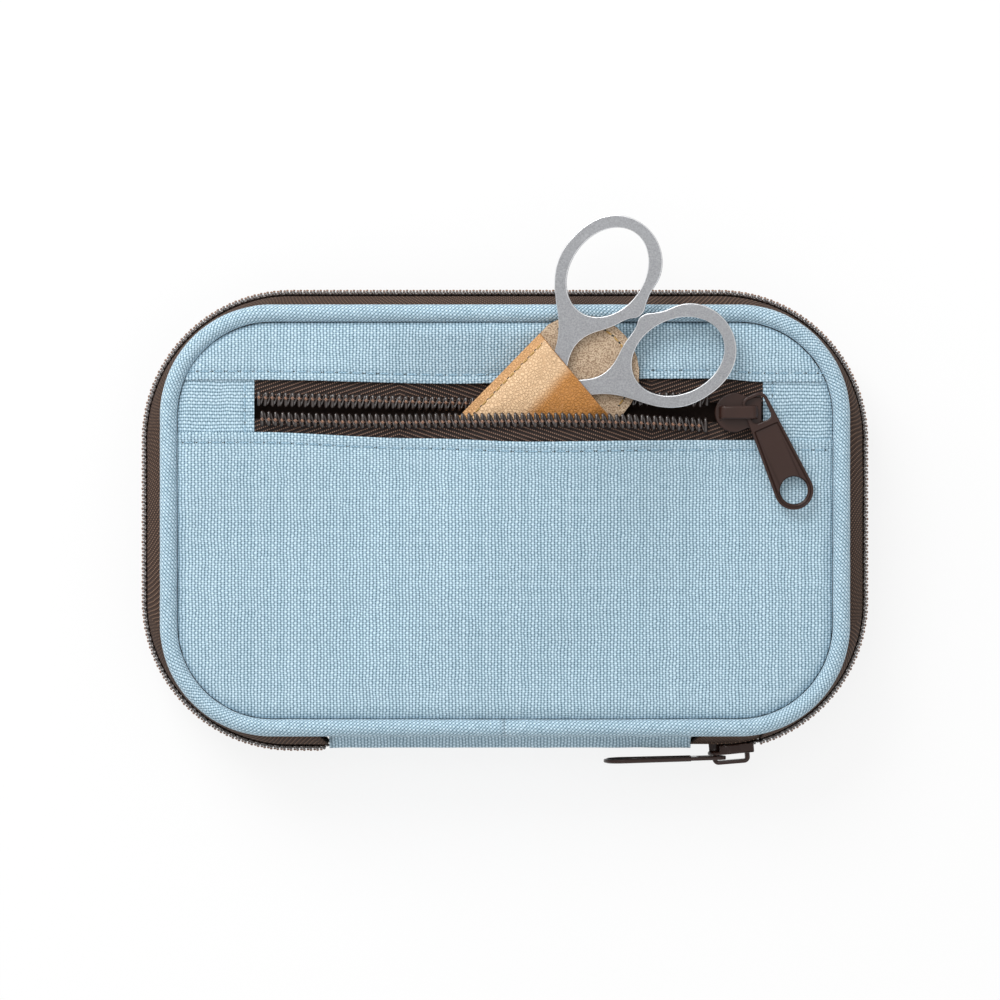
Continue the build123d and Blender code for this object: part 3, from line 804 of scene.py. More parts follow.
def bevel(piece, label, width, segments, angle):
    """Rounds the edges of a piece that turn by more than an angle in degrees."""
    edge = piece.modifiers.new(label, "BEVEL")
    edge.width = width
    edge.segments = segments
    edge.limit_method = "ANGLE"
    edge.angle_limit = radians(angle)
    return edge


def thicken(piece, thickness, rim=0.3 * mm):
    """Gives a sheet its thickness and a softly turned edge."""
    solid = piece.modifiers.new("thickness", "SOLIDIFY")
    solid.thickness = thickness
    solid.offset = -1.0
    solid.use_even_offset = True
    if rim:
        bevel(piece, "turned edge", rim, 2, 50)
    return solid


# %% [markdown]
# ## Stitches
# A stitch shows as a short round grain of thread that sinks into the cloth at both ends. A
# row has hundreds of them, so each is a small ball of few faces that is stretched along the
# row, and all of them are copied into one mesh.

# %% Stitches


def ball(bm):
    bmesh.ops.create_uvsphere(bm, u_segments=8, v_segments=6, radius=1.0)


def disc(bm):
    bmesh.ops.create_circle(bm, cap_ends=True, segments=8, radius=1.0)


def copies(name, shape, places, finish, body):
    """One mesh of many copies of a small shape. places are their matrices."""
    bm = bmesh.new()
    shape(bm)
    bm.verts.index_update()
    corners = [v.co.copy() for v in bm.verts]
    faces = [[v.index for v in f.verts] for f in bm.faces]
    bm.free()
    points, polygons = [], []
    for place in places:
        start = len(points)
        points += [place @ corner for corner in corners]
        polygons += [[start + i for i in polygon] for polygon in faces]
    mesh = bpy.data.meshes.new(name)
    mesh.from_pydata(points, [], polygons)
    return place_mesh(name, mesh, finish, body)


def turned_to(along, side, up):
    """The turn that takes X, Y and Z to three directions."""
    return Matrix((along, side, up)).transposed().to_4x4()


def stitch_row(name, points, facing, size, finish, body, lift=0.2, holes=0.0):
    """Stitches along a line: short rounded grains, each sunk a little into what it holds.
    size is their length, the gap between them and their width. With holes, the needle's hole
    at both ends of each stitch is a small dark disc, painted shade inside the hole."""
    length, gap, width = size
    grains, marks = [], []
    grain = Matrix.Diagonal((length / 2, width / 2, width * 0.42, 1)) @ Matrix.Rotation(pi / 2, 4, "Y")
    travelled, target = 0.0, gap
    for a, b in zip(points, points[1:]):
        run = (b - a).length
        while run > 0 and travelled + run >= target + length / 2:
            centre = a.lerp(b, (target + length / 2 - travelled) / run)
            along = (b - a).normalized()
            side = facing.cross(along).normalized()
            up = along.cross(side)
            turn = turned_to(along, side, up)
            grains.append(Matrix.Translation(centre + up * width * lift) @ turn @ grain)
            for end in (-1, 1):
                hole = Matrix.Translation(centre + along * end * (length + gap * 0.5) / 2 + up * 0.02 * mm)
                marks.append(hole @ turn @ Matrix.Scale(holes, 4))
            target += length + gap
        travelled += run
    # The dark discs are painted shade in the needle holes.
    if holes:
        copies(name + "_holes", disc, marks, hole_shade, body)
    copies(name, ball, grains, finish, body)


# %% [markdown]
# ## Canvas sheets of the front
# The two front panels are thin canvas, pushed up by the sheath beneath. Each starts as a
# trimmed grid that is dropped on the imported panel, so its drape is the measured one. Beside
# the piping the cloth dives into the seam, which makes the dark line round the front, and
# small puckers run off each line of stitching.

# %% Front canvas sheets
seam_reach = 0.32 * mm       # the cloth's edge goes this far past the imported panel
canvas_thick = 1.0 * mm
press_lines = (-1.1 * mm, -0.45 * mm, 0, 0.45 * mm, 1.1 * mm)     # points across a pressed seam
press_wide = 0.6 * mm
settle_rounds = 6            # how often the dropped cloth is smoothed
inner_ring = Ring.of("pocket_backing")
front_edge_ring = inner_ring.grown(seam_reach)


def pucker(x, y, away, size=0.11 * mm, reach=4.5 * mm):
    """Small waves in the cloth that fade away from a seam."""
    return wavy(x, y, 3.4 * mm, 2, size) * exp(-max(away, 0) / reach) + wavy(x, y, 24 * mm, 9, 0.16 * mm)


def dive(away, depth, reach=2.4 * mm):
    """How far the cloth drops as it nears the seam beside the piping."""
    share = max(0.0, 1 - away / reach)
    return depth * share * share


def smooth(value):
    """A share from 0 to 1 that starts and ends gently."""
    value = min(max(value, 0.0), 1.0)
    return value * value * (3 - 2 * value)


def between_anchors(anchors, x):
    """A smooth value that passes through (x, value) pairs and is level beyond their ends."""
    for (x0, a), (x1, b) in zip(anchors, anchors[1:]):
        if x < x1:
            return a + (b - a) * smooth((x - x0) / (x1 - x0))
    return anchors[-1][1]


def mouth_sag(x, y):
    """How far the cloth at a point has moved in Y, where the open mouth's edges have slipped."""
    if y < mouth_middle_y:
        anchors, away = lower_slip, mouth_low - y
    else:
        anchors, away = upper_slip, y - mouth_high
    return between_anchors(anchors, x) * smooth(1 - away / slip_reach)


# %% [markdown]
# A sheet is dropped on its imported node by rays, smoothed a little as cloth is, and then
# pressed down where it is sewn. It was cut flat and its seams hold it stretched, so its
# flat size is printed from the outline of its mesh.

# %% Sewn sheets


def canvas_sheet(name, source, planes, low, high, seam_ring, seams=(), side=1, finish=canvas,
                 body="front_half", thickness=canvas_thick, step=1.5 * mm, press=0.22 * mm,
                 dive_depth=1.3 * mm, size=0.11 * mm, slip=None, drop=0.0):
    """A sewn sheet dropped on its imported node. seams are (point, outward) stitch lines."""
    bm = trimmed_sheet(low, high, step, planes)
    for point, outward in seams:
        for offset in press_lines:
            cut(bm, Vector(point) + Vector(outward) * offset, outward, trim=False)
    surface = Surface(nodes[source].data, side)
    cloth = bm.verts.layers.float_vector.new("cloth")
    sewn = bm.verts.layers.float_vector.new("sewn")
    for vert in bm.verts:
        x, y = vert.co.x, vert.co.y
        vert[cloth] = (x / mm, y / mm, 0)
        vert[sewn] = (x, y, 0)
        vert.co.y += slip(x, y) if slip else 0
        vert.co.z = surface.height(x, vert.co.y) * side
    inner = [v for v in bm.verts if not v.is_boundary]
    for _ in range(settle_rounds):
        bmesh.ops.smooth_vert(bm, verts=inner, factor=0.5, use_axis_z=True)
    for vert in bm.verts:
        x, y, _ = vert[sewn]
        away = seam_ring.inside(x, y)
        lift = pucker(x, y, away, size) - dive(away, dive_depth) - drop
        for point, outward in seams:
            off = abs((Vector((x, y)) - Vector(point)).dot(Vector(outward)))
            lift += pucker(x + 7 * mm, y, off, size * 0.8, 3 * mm) - press * exp(-(off / press_wide) ** 2)
        vert.co.z = (vert.co.z + lift) * side
    face(bm, side)
    piece = finish_mesh(name, bm, finish, body)
    thicken(piece, thickness)
    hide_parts(source)
    declare_sheet(piece)
    return piece


def declare_sheet(piece):
    """Prints what size a sewn sheet was cut to, from the extent of its mesh in X and Y."""
    xs, ys, _ = zip(*(v.co for v in piece.data.vertices))
    size = (max(xs) - min(xs), max(ys) - min(ys))
    print(piece.name, "cut", round(size[0] / mm), "x", round(size[1] / mm), "mm")


# %% [markdown]
# The open mouth isn't straight: its edges have slipped on their tapes, most of all the
# lower one past the middle. A few anchors along the mouth say how far the cloth has moved
# there, and a smooth curve joins them.

# %% Front panels
mouth_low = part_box("pocket_tab_left")[0].y
mouth_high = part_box("pocket_tab_left")[1].y
mouth_middle_y = (mouth_low + mouth_high) / 2
slip_reach = 14 * mm
lower_slip = [(-62 * mm, 0.3 * mm), (-21 * mm, -1.3 * mm), (7 * mm, -2.2 * mm), (50 * mm, -1.7 * mm)]
upper_slip = [(-60 * mm, 0.4 * mm), (-14 * mm, -0.5 * mm), (36 * mm, 0.7 * mm), (52 * mm, 0.7 * mm),
              (63 * mm, -0.1 * mm)]
lower_stitch_y = mouth_low - 2.6 * mm
upper_stitch_y = mouth_high + 2.1 * mm
outer_x, outer_y = inner_ring.half_x + mm, inner_ring.half_y + mm


def front_panel(name, source, parts, low_y, high_y, stitch_y):
    """One of the two panels, whose outline follows some parts of the ring."""
    return canvas_sheet(name, source, ring_planes(front_edge_ring, parts), (-outer_x, low_y),
                        (outer_x, high_y), front_edge_ring, [((0, stitch_y), (0, 1))], slip=mouth_sag)


pocket_panel = front_panel("pocket_canvas", "pocket_panel", (0, 1, 2, 6, 7), -outer_y, mouth_low,
                           lower_stitch_y)
upper_panel = front_panel("upper_canvas", "upper_panel", (2, 3, 4, 5, 6), mouth_high, outer_y,
                          upper_stitch_y)

# %% [markdown]
# Two small tabs close the ends of the pocket's mouth. They lie a cloth's thickness lower
# than the panels that overlap them, and each has one short line of stitching.

# %% End tabs
tab_stitch = 2.3 * mm
tab_under = 3.2 * mm         # how far a tab goes on beneath the panels
tabs = []
for label, sign in (("left", -1), ("right", 1)):
    low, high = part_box(f"pocket_tab_{label}")
    stitch_x = (high.x if sign < 0 else low.x) + sign * tab_stitch
    tab = canvas_sheet(f"mouth_tab_{label}", f"pocket_tab_{label}",
                       ring_planes(front_edge_ring, (2, 3, 5, 6)),
                       (low.x - mm if sign < 0 else low.x, low.y - tab_under),
                       (high.x if sign < 0 else high.x + mm, high.y + tab_under),
                       front_edge_ring, [((stitch_x, 0), (1, 0))], finish=tab_canvas, step=1.2 * mm,
                       size=0.06 * mm, drop=0.55 * mm)
    tabs.append((tab, stitch_x))

# %% [markdown]
# ## Piping
# The piping is a cord wrapped in canvas cut on the bias, so its yarns run at 45 degrees. It
# is a closed loop whose ends meet at the middle of the lower side. The sweep starts there,
# and its section starts at the inner side, where the seam hides the join of the pattern.

# %% Piping
piping_sides = 18
section_start = pi + 0.9     # angle of the section's first point, in the seam


def piping_loop(name, source, z, body, up):
    """One loop of piping. up is 1 on the front and -1 on the back."""
    turn = [section_start + 2 * pi * i / piping_sides for i in range(piping_sides)]
    sections, distances = [], []
    for place in piping_ring.places(0.5, 8.5, 1.6 * mm):
        point, out = piping_ring.at(place)
        run = piping_ring.distance_to(place)
        r = piping_r + wavy(run, up * 5 * mm, 5 * mm, 0, 0.05 * mm)
        sections.append([(point.x + out.x * r * cos(a), point.y + out.y * r * cos(a), z + up * r * sin(a))
                         for a in turn])
        distances.append(run)
    sweep(name, sections, distances, piping_canvas, body, source)


piping_loop("front_piping_cord", "front_piping", front_seam_z, "front_half", 1)
piping_loop("back_piping_cord", "back_piping", back_seam_z, "back_half", -1)

# %% [markdown]
# ## Back panel and spine
# The back panel is one plain sheet of the same canvas. The spine is a narrow strip that
# bulges out between its two folds and is turned under at both ends.

# %% Back panel and spine
back_ring = Ring.of("back_panel")
canvas_sheet("back_canvas", "back_panel", ring_planes(back_ring), (-outer_x, -outer_y), (outer_x, outer_y),
             back_ring, side=-1, body="back_half", dive_depth=0.0)


def strip_profile(source, x_at):
    """Outline of a node where a plane across X cuts it, as points round its section."""
    bm = bmesh.new()
    bm.from_mesh(nodes[source].data)
    bmesh.ops.remove_doubles(bm, verts=bm.verts, dist=1e-6)
    crossed = bmesh.ops.bisect_plane(bm, geom=bm.verts[:] + bm.edges[:] + bm.faces[:],
                                     plane_co=(x_at, 0, 0), plane_no=(1, 0, 0))["geom_cut"]
    edges = [g for g in crossed if isinstance(g, bmesh.types.BMEdge)]
    start = edges[0].verts[0]
    loop, seen = [start], {start}
    while True:
        following = [e.other_vert(loop[-1]) for e in edges if loop[-1] in e.verts]
        fresh = [v for v in following if v not in seen]
        if not fresh:
            break
        loop.append(fresh[0])
        seen.add(fresh[0])
    points = [(v.co.y, v.co.z) for v in loop]
    bm.free()
    return points


def thin_out(points, gap):
    """Drops points that lie closer together than a gap."""
    kept = [points[0]]
    for point in points[1:]:
        if hypot(point[0] - kept[-1][0], point[1] - kept[-1][1]) > gap:
            kept.append(point)
    return kept


def spine_strip(name, source, finish):
    low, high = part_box(source)
    profile = thin_out(strip_profile(source, (low.x + high.x) / 2), 0.35 * mm)
    xs = even(low.x, high.x, ceil((high.x - low.x) / (2.0 * mm)))
    sections = []
    for x in xs:
        near_end = exp(-min(x - low.x, high.x - x) / (3 * mm))
        shift = wavy(x, 0, 6 * mm, 4, 0.08 * mm) + near_end * 0.1 * mm
        sections.append([(x, y - shift, z) for y, z in profile])
    sweep(name, sections, xs, finish, "spine", source)


spine_strip("spine_canvas", "spine_panel", canvas)
spine_strip("spine_inner_cloth", "spine_lining", lining_cloth)

# %% [markdown]
# ## Zipper tapes round the edge
# Each tape starts in the seam under the piping, slopes out to the zipper's wall and turns
# upright beside the coil. Its thickness is part of the section, so both faces are real.

# %% Edge tapes
tape_thick = 0.6 * mm
coil_height = 1.6 * mm
tape_low, tape_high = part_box("front_tape")
wall_ring = chain_ring.grown(-coil_height)
seam_start_ring = body_ring.grown(-piping_r + 0.65 * mm)
wall_top_z = tape_low.z
flange_z = tape_high.z
wall_turn = 5.0 * mm         # length of the upright part
seam_tuck = 2.4 * mm         # how far the tape goes on inside the seam
slope_swell = 0.15 * mm      # the sloping part is a little rounded
spine_low, spine_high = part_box("spine_panel")
end_low, end_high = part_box("zipper_end_tapes")


def level(z, up):
    """A height on the front half, or mirrored to the back half where up is -1."""
    return mid_z + up * (z - mid_z)


def place_on_lower_side(ring, x):
    """The place on the lower side or lower right corner that has this X."""
    beyond = x - ring.flat_x
    if beyond <= 0:
        return (x + ring.flat_x) / (2 * ring.flat_x)
    return 1 + 2 / pi * (atan2(-sqrt(ring.corner ** 2 - beyond ** 2), beyond) + pi / 2)


chain_start = place_on_lower_side(chain_ring, end_high.x + 0.35 * mm)
chain_end = 8 + place_on_lower_side(chain_ring, spine_low.x - 0.35 * mm)


def edge_tape(name, source, body, up):
    """Tape of one half. up is 1 on the front half and -1 on the back half."""
    sections, distances = [], []
    for place in chain_ring.places(chain_start, chain_end, 1.8 * mm):
        inner, inner_out = seam_start_ring.at(place)
        wall, out = wall_ring.at(place)
        run = chain_ring.distance_to(place)
        wobble = wavy(run, up * 9 * mm, 9 * mm, 7, 0.08 * mm)
        bend_z = wall_top_z + wall_turn
        line = [(inner - inner_out * seam_tuck, flange_z), (inner, flange_z),
                (inner.lerp(wall, 0.5) + out * (slope_swell + wobble), (flange_z + bend_z) / 2 + 0.1 * mm),
                (wall + out * wobble, bend_z), (wall, wall_top_z + wall_turn * 0.5), (wall, wall_top_z)]
        back = [(p - out * tape_thick, z - (tape_thick if z == flange_z else 0)) for p, z in reversed(line)]
        sections.append([(p.x, p.y, level(z, up)) for p, z in line + back])
        distances.append(run)
    sweep(name, sections, distances, edge_tape_cloth, body, source)


edge_tape("front_zipper_tape", "front_tape", "front_half", 1)
edge_tape("back_zipper_tape", "back_tape", "back_half", -1)

# %% [markdown]
# The zipper ends in two short tapes that stay with the spine. The slanted cloth between
# them and each half bends when the case opens; here those two pieces are made in place
# and joined to no body.

# %% End of the edge zipper
end_places = wall_ring.places(place_on_lower_side(wall_ring, end_low.x),
                              place_on_lower_side(wall_ring, end_high.x), 1.2 * mm)


def end_tape(name, source, low, high):
    """One of the two short tapes that stay with the spine at the zipper's end."""
    heights = [low, (low + high) / 2, high]
    profile = [(0, z) for z in heights] + [(-tape_thick, z) for z in reversed(heights)]
    sections, distances = round_ring(wall_ring, end_places, 0, profile)
    sweep(name, sections, distances, edge_tape_cloth, "spine", source)


end_tape("zipper_end_tape_lower", "zipper_end_tapes", end_low.z, level(wall_top_z, -1))
end_tape("zipper_end_tape_upper", None, wall_top_z, end_high.z)


def end_gusset(name, up):
    """The sloping part of the tape between the zipper's closed end and a piping, made in place and joined to
    no body."""
    first = place_on_lower_side(wall_ring, spine_high.x - 0.2 * mm)
    last = place_on_lower_side(wall_ring, end_high.x + 0.2 * mm)
    low_z = wall_top_z + wall_turn * 0.6
    sections, distances = [], []
    for place in wall_ring.places(first, last, 1.5 * mm):
        wall, out = wall_ring.at(place)
        inner, _ = seam_start_ring.at(place)
        middle = inner.lerp(wall, 0.5) + out * slope_swell
        line = [(inner, flange_z), (middle, (flange_z + low_z) / 2), (wall, low_z)]
        under = [(p - out * tape_thick, z - tape_thick * 0.4) for p, z in reversed(line)]
        sections.append([(p.x, p.y, level(z, up)) for p, z in line + under])
        distances.append(wall_ring.distance_to(place))
    piece = sweep(name, sections, distances, edge_tape_cloth, None)
    ends = [(0, spine_low.y, level(low_z, up)), (0, spine_low.y, level(flange_z, up))]
    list(ends if up > 0 else ends[::-1])
    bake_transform(piece)


end_gusset("zipper_end_gusset_front", 1)
end_gusset("zipper_end_gusset_back", -1)

# %% [markdown]
# ## Coils
# A coil zipper is one nylon strand wound into a flat spring and sewn to its tape. A point
# that runs round a flattened circle while it moves along the row draws that spring. The two
# rows stand half a turn apart, so that the turns of one lie between those of the other, and
# a row of thread runs over the middle of each.

# %% Strand


def wire(name, points, radius, finish, body, sides=6):
    """A thin round strand through points, made from a curve and turned into a mesh."""
    curve = bpy.data.curves.new(name, "CURVE")
    curve.dimensions = "3D"
    curve.bevel_depth = radius
    curve.bevel_resolution = (sides - 4) // 2
    curve.use_fill_caps = True
    spline = curve.splines.new("POLY")
    spline.points.add(len(points) - 1)
    for i, point in enumerate(points):
        spline.points[i].co = (*point, 1)
    holder = bpy.data.objects.new(name + "_curve", curve)
    bpy.context.scene.collection.objects.link(holder)
    bpy.context.view_layer.update()
    mesh = bpy.data.meshes.new_from_object(holder)
    bpy.data.objects.remove(holder)
    bpy.data.curves.remove(curve)
    return place_mesh(name, mesh, finish, body)


# %% Coils
coil_pitch = 1.65 * mm
strand_r = 0.45 * mm
thread_r = 0.33 * mm
thread_dip = 0.95 * mm       # the thread goes down this far between two turns
turn_points = 16
head_reach = 0.5 * mm        # the turns pass the middle of the chain by this much
row_low, row_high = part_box("front_coil")
row_width = row_high.z - row_low.z


def flat_turn(angle, half_wide, half_tall, wide_power=0.62, tall_power=0.8):
    """A point on a flattened circle, squarer for lower powers."""
    c, s = cos(angle), sin(angle)
    return (half_wide * abs(c) ** wide_power * (1 if c > 0 else -1),
            half_tall * abs(s) ** tall_power * (1 if s > 0 else -1))


def spring(place_of, length, half_size, phase):
    """Points of a strand wound along a row. It crosses the top straight over, and moves on to
    the next turn underneath. place_of(run, across, high) gives a point."""
    points = []
    for i in range(int((length / coil_pitch - phase) * turn_points)):
        turn, share = divmod(i, turn_points)
        angle = 2 * pi * share / turn_points
        across, high = flat_turn(angle, *half_size)
        onward = (1 - cos(angle - pi)) / 2 if angle > pi else 0
        points.append(place_of((turn + phase + onward) * coil_pitch, across, high))
    return points


def sewn_row(name, place_of, length, half_size, phase, high, body, source, aside=0.0):
    """One row of coil, the short thick stitches over its turns, and the thread between them."""
    strand = wire(name, spring(place_of, length, half_size, phase), strand_r, coil_nylon, body)
    grains, line = [], []
    lean = Matrix.Rotation(radians(18), 4, "Z")
    grain = Matrix.Diagonal((thread_r * 1.1, thread_r * 1.45, thread_r, 1))
    for i in range(int(length / coil_pitch - phase)):
        run = (i + phase) * coil_pitch
        centre = Vector(place_of(run, aside, high))
        along = (Vector(place_of(run + 0.2 * mm, aside, high)) - centre).normalized()
        up = (Vector(place_of(run, aside, high + mm)) - centre).normalized()
        grains.append(Matrix.Translation(centre) @ turned_to(along, up.cross(along), up) @ lean @ grain)
        line += [centre, Vector(place_of(run + coil_pitch / 2, aside, high - thread_dip))]
    wire(name + "_thread", line, thread_r * 0.32, coil_thread, body, sides=4)
    copies(name + "_stitches", ball, grains, coil_thread, body)
    if source:
        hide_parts(source)


def edge_row(name, source, body, up, first, last, phase):
    """One row of the zipper round the edge."""
    start, end = chain_ring.distance_to(first), chain_ring.distance_to(last)
    centre_z = mid_z + up * (row_width / 2 - head_reach / 2 + 0.1 * mm)

    def place_of(run, across, high):
        point, out = chain_ring.at(chain_ring.place_at(start + run))
        spot = point + out * (high - coil_height / 2)
        return (spot.x, spot.y, centre_z + up * across)

    half_size = ((row_width + head_reach) / 2 - strand_r, coil_height / 2 - strand_r)
    sewn_row(name, place_of, end - start, half_size, phase, coil_height / 2 - 0.02 * mm, body, source)


edge_row("front_coil_strand", "front_coil", "front_half", 1, chain_start, chain_end, 0.0)
edge_row("back_coil_strand", "back_coil", "back_half", -1, chain_start, chain_end, 0.5)
tooth_low, tooth_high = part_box("zipper_end_coil")
end_first = place_on_lower_side(chain_ring, tooth_low.x)
end_last = place_on_lower_side(chain_ring, tooth_high.x)
edge_row("end_coil_upper", "zipper_end_coil", "spine", 1, end_first, end_last, 0.0)
edge_row("end_coil_lower", None, "spine", -1, end_first, end_last, 0.5)

# %% [markdown]
# ## Zipper of the pocket
# The rows of the open pocket lie flat and wander a little. Their middle line is read from
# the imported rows, by looking down on them at many places.

# %% Pocket rows
pocket_row_width = 3.9 * mm
slimmer = 0.1 * mm           # keeps the underside clear of the scissors when they open


def row_line(source, step=1.0 * mm):
    """Middle line of a packed row: X, Y and the height of its top at each step."""
    surface = Surface(nodes[source].data)
    low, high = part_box(source)
    line = []
    for x in even(low.x + 0.05 * mm, high.x - 0.05 * mm, ceil((high.x - low.x) / step)):
        found = surface.scan(x, low.y, high.y)
        if found:
            ys, zs = zip(*found)
            line.append(Vector((x, (min(ys) + max(ys)) / 2, sum(zs) / len(zs))))
    return line


def along_line(line, run):
    """Point and side of a line at a distance from its start."""
    for a, b in zip(line, line[1:]):
        length = (b - a).length
        if run <= length or b is line[-1]:
            along = (b - a).normalized()
            return a + along * run, Vector((-along.y, along.x, 0)).normalized()
        run -= length


def pocket_row(name, source, outward, phase):
    """A flat row. outward is 1 where the sewn side is up, towards +Y."""
    line = row_line(source)[1:-1]

    def place_of(run, across, high_up):
        point, side = along_line(line, run)
        spot = point + side * across * outward
        return (spot.x, spot.y, point.z - coil_height / 2 + slimmer + high_up)

    length = sum((b - a).length for a, b in zip(line, line[1:]))
    half_size = (pocket_row_width / 2 - strand_r, coil_height / 2 - strand_r - slimmer)
    sewn_row(name, place_of, length, half_size, phase, coil_height / 2 - slimmer, "front_half", source,
             aside=0.3 * mm)


pocket_row("pocket_upper_strand", "pocket_coil_upper", 1, 0.0)
pocket_row("pocket_lower_strand", "pocket_coil_lower", -1, 0.5)

# %% [markdown]
# The tapes of the pocket show only between the canvas and the coil. Each is one sheet
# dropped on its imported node, and it goes on a little under the canvas so that no gap shows
# beside the stitching.

# %% Pocket tapes
tape_columns = 12
under_canvas = 0.25 * mm     # the room between the tape and the canvas that covers it


def pocket_tape(name, source, under, cover):
    """Tape of the pocket's zipper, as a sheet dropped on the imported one. It goes on under the
    canvas that covers it, by the two lengths given for its lower and upper side."""
    canvas_above = Surface(cover.data)
    low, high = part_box(source)
    surface = Surface(nodes[source].data)
    xs = even(low.x + 0.02 * mm, high.x - 0.02 * mm, ceil((high.x - low.x) / (1.5 * mm)))
    sections = []
    for x in xs:
        ys = [y for y, _ in surface.scan(x, low.y, high.y)]
        section = []
        for y in even(min(ys) - under[0], max(ys) + under[1], tape_columns):
            point = surface.spot(x, y)
            above = canvas_above.hit(x, y)
            if above is not None:
                point.z = min(point.z, above - canvas_thick - under_canvas)
            section.append(tuple(point))
        sections.append(section)
    piece = sweep(name, sections, xs, tape_cloth, "front_half", closed=False)
    for vert, value in zip(piece.data.vertices, piece.data.attributes["cloth"].data):
        value.vector = (vert.co.x / mm, vert.co.y / mm, 0)
    if sum(p.normal.z for p in piece.data.polygons) < 0:
        piece.data.flip_normals()
    thicken(piece, tape_thick, rim=0)
    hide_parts(source)


pocket_tape("pocket_upper_tape", "pocket_tape_upper", (0, 1.0 * mm), upper_panel)
pocket_tape("pocket_lower_tape", "pocket_tape_lower", (1.6 * mm, 0), pocket_panel)

# %% [markdown]
# ## Stitching on the front
# Lines of thread hold the panels to the zipper. Each stitch is a small grain of thread laid
# on the finished cloth, found again by rays from above.

# %% Front stitching
canvas_stitch = (2.5 * mm, 0.9 * mm, 0.42 * mm)    # length, gap and width
canvas_hole = 0.2 * mm
up_z = Vector((0, 0, 1))


def seam_stitches(name, piece, start, end, finish=canvas_thread, side=1, size=canvas_stitch, slip=None,
                  holes=canvas_hole):
    """A row of stitches across a piece, following its surface and any slip of the cloth."""
    surface = Surface(piece.data, side)
    start, end = Vector(start), Vector(end)
    count = max(8, int((end - start).length / (1.0 * mm)))
    points = []
    for i in range(count + 1):
        x, y = start.lerp(end, i / count)
        points.append(surface.spot(x, y + (slip(x, y) if slip else 0)))
    stitch_row(name, points, up_z * side, size, finish, "front_half", holes=holes)


for name, panel, side_gap, y in (("lower_mouth_stitches", pocket_panel, 0.5 * mm, lower_stitch_y),
                                 ("upper_mouth_stitches", upper_panel, 1.2 * mm, upper_stitch_y)):
    side_x = inner_ring.half_x - side_gap
    seam_stitches(name, panel, (-side_x, y), (side_x, y), slip=mouth_sag)
for tab, x in tabs:
    seam_stitches(f"{tab.name}_stitches", tab, (x, mouth_low - 1.5 * mm), (x, mouth_high + 0.5 * mm))

# %% [markdown]
# ## Sheath
# The sheath has a front flap, grain side out, on a longer back leaf that shows its flesh
# side. They are drawn in the plane of the scissors: u points to the finger rings, w to the
# left of it, and the zero is the scissors' pivot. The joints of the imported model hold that
# pivot and both directions.

# %% Sheath
joints = {j["name"]: j for j in frame["joints"]}
pivot = Vector(joints["scissors_open"]["pos_m"])
u_dir = Vector(joints["sheath_draw"]["axis"]).normalized()
n_dir = -Vector(joints["scissors_open"]["axis"]).normalized()
w_dir = n_dir.cross(u_dir).normalized()

# %% [markdown]
# The sheath narrows towards its hidden tip. Its outline is three straight cuts, to which
# the flap adds a square mouth and the back leaf a rounded end.

# %% Outline of the sheath
flap_mouth = 12.0 * mm
leaf_shoulder = 15.0 * mm
leaf_end = 27.7 * mm
sheath_tip = -48.0 * mm
left_wide, right_wide = 12.7 * mm, 15.3 * mm
taper_angle = radians(5.7)
leather_thick = 0.85 * mm
cavity_half = 1.25 * mm
thread_inset = 2.2 * mm
flap_ridge = -3.5 * mm       # w of the soft ridge, where the flap begins to fall away


def tool_point(u, w, h):
    return pivot + u_dir * u + w_dir * w + n_dir * h


def half_widths(u):
    """Half widths of the sheath on its left and right at a distance from the pivot."""
    grow = tan(taper_angle) * (u - flap_mouth)
    return left_wide + grow, right_wide + grow


def end_arc(inset=0.0, count=14):
    """Points of the rounded end of the back leaf, from its right to its left corner."""
    left, right = half_widths(leaf_shoulder)
    middle, half = (left - right) / 2, (left + right) / 2 - inset
    rise = leaf_end - inset - leaf_shoulder
    r = (half * half + rise * rise) / (2 * rise)
    reach = atan2(half, r - rise)
    centre = leaf_end - inset - r
    return [(centre + r * cos(a), middle + r * sin(a)) for a in even(-reach, reach, count)]


outline = [((flap_mouth, left_wide), (-sin(taper_angle), cos(taper_angle))),
           ((flap_mouth, -right_wide), (-sin(taper_angle), -cos(taper_angle))),
           ((sheath_tip, 0), (-1, 0))]
arc = [Vector(p) for p in end_arc()]
flap_planes = outline + [((flap_mouth, 0), (1, 0))]
leaf_planes = outline + [chord_plane(a, b) for a, b in zip(arc, arc[1:])]


# %% [markdown]
# Each leaf is a trimmed sheet again, whose height over the scissors' plane is a sum of
# simple shapes: the rise over the steel, a fall beside the ridge, creases, and the slight
# lift of a cut edge. Sculpting could give the same, but a formula can be changed later.

# %% Leaves of the sheath


def flap_height(u, w):
    """Top of the flap: pressed at its stitched sides, raised over the steel, and falling
    away to the right of a soft ridge, with a few creases across the ridge."""
    left, right = half_widths(u)
    pressed = -cavity_half + 2 * leather_thick + 0.1 * mm
    top = cavity_half + leather_thick + 0.1 * mm
    height = pressed + (top - pressed) * smooth(min(left - w, w + right) / (5.0 * mm))
    fall = max(0.0, flap_ridge - w)
    height -= fall * 0.06 * smooth(fall / (4 * mm))
    creased = smooth((flap_mouth - u - 7 * mm) / (9 * mm))
    near_ridge = exp(-((w - flap_ridge + 1 * mm) / (3.6 * mm)) ** 2)
    waves = sin((u * 0.8 - w * 1.4) / (1.15 * mm))
    height += 0.16 * mm * waves * near_ridge * creased
    lip = exp(-max(0.0, flap_mouth - u) / (1.2 * mm))
    return height + 0.25 * mm * lip + wavy(u, w, 7 * mm, 3, 0.15 * mm)


def leaf_height(u, w):
    """Top of the back leaf, which curls up a little at its open end."""
    curl = 0.25 * mm * smooth((u - flap_mouth) / (15 * mm))
    return -cavity_half + curl + wavy(u, w, 6 * mm, 8, 0.1 * mm)


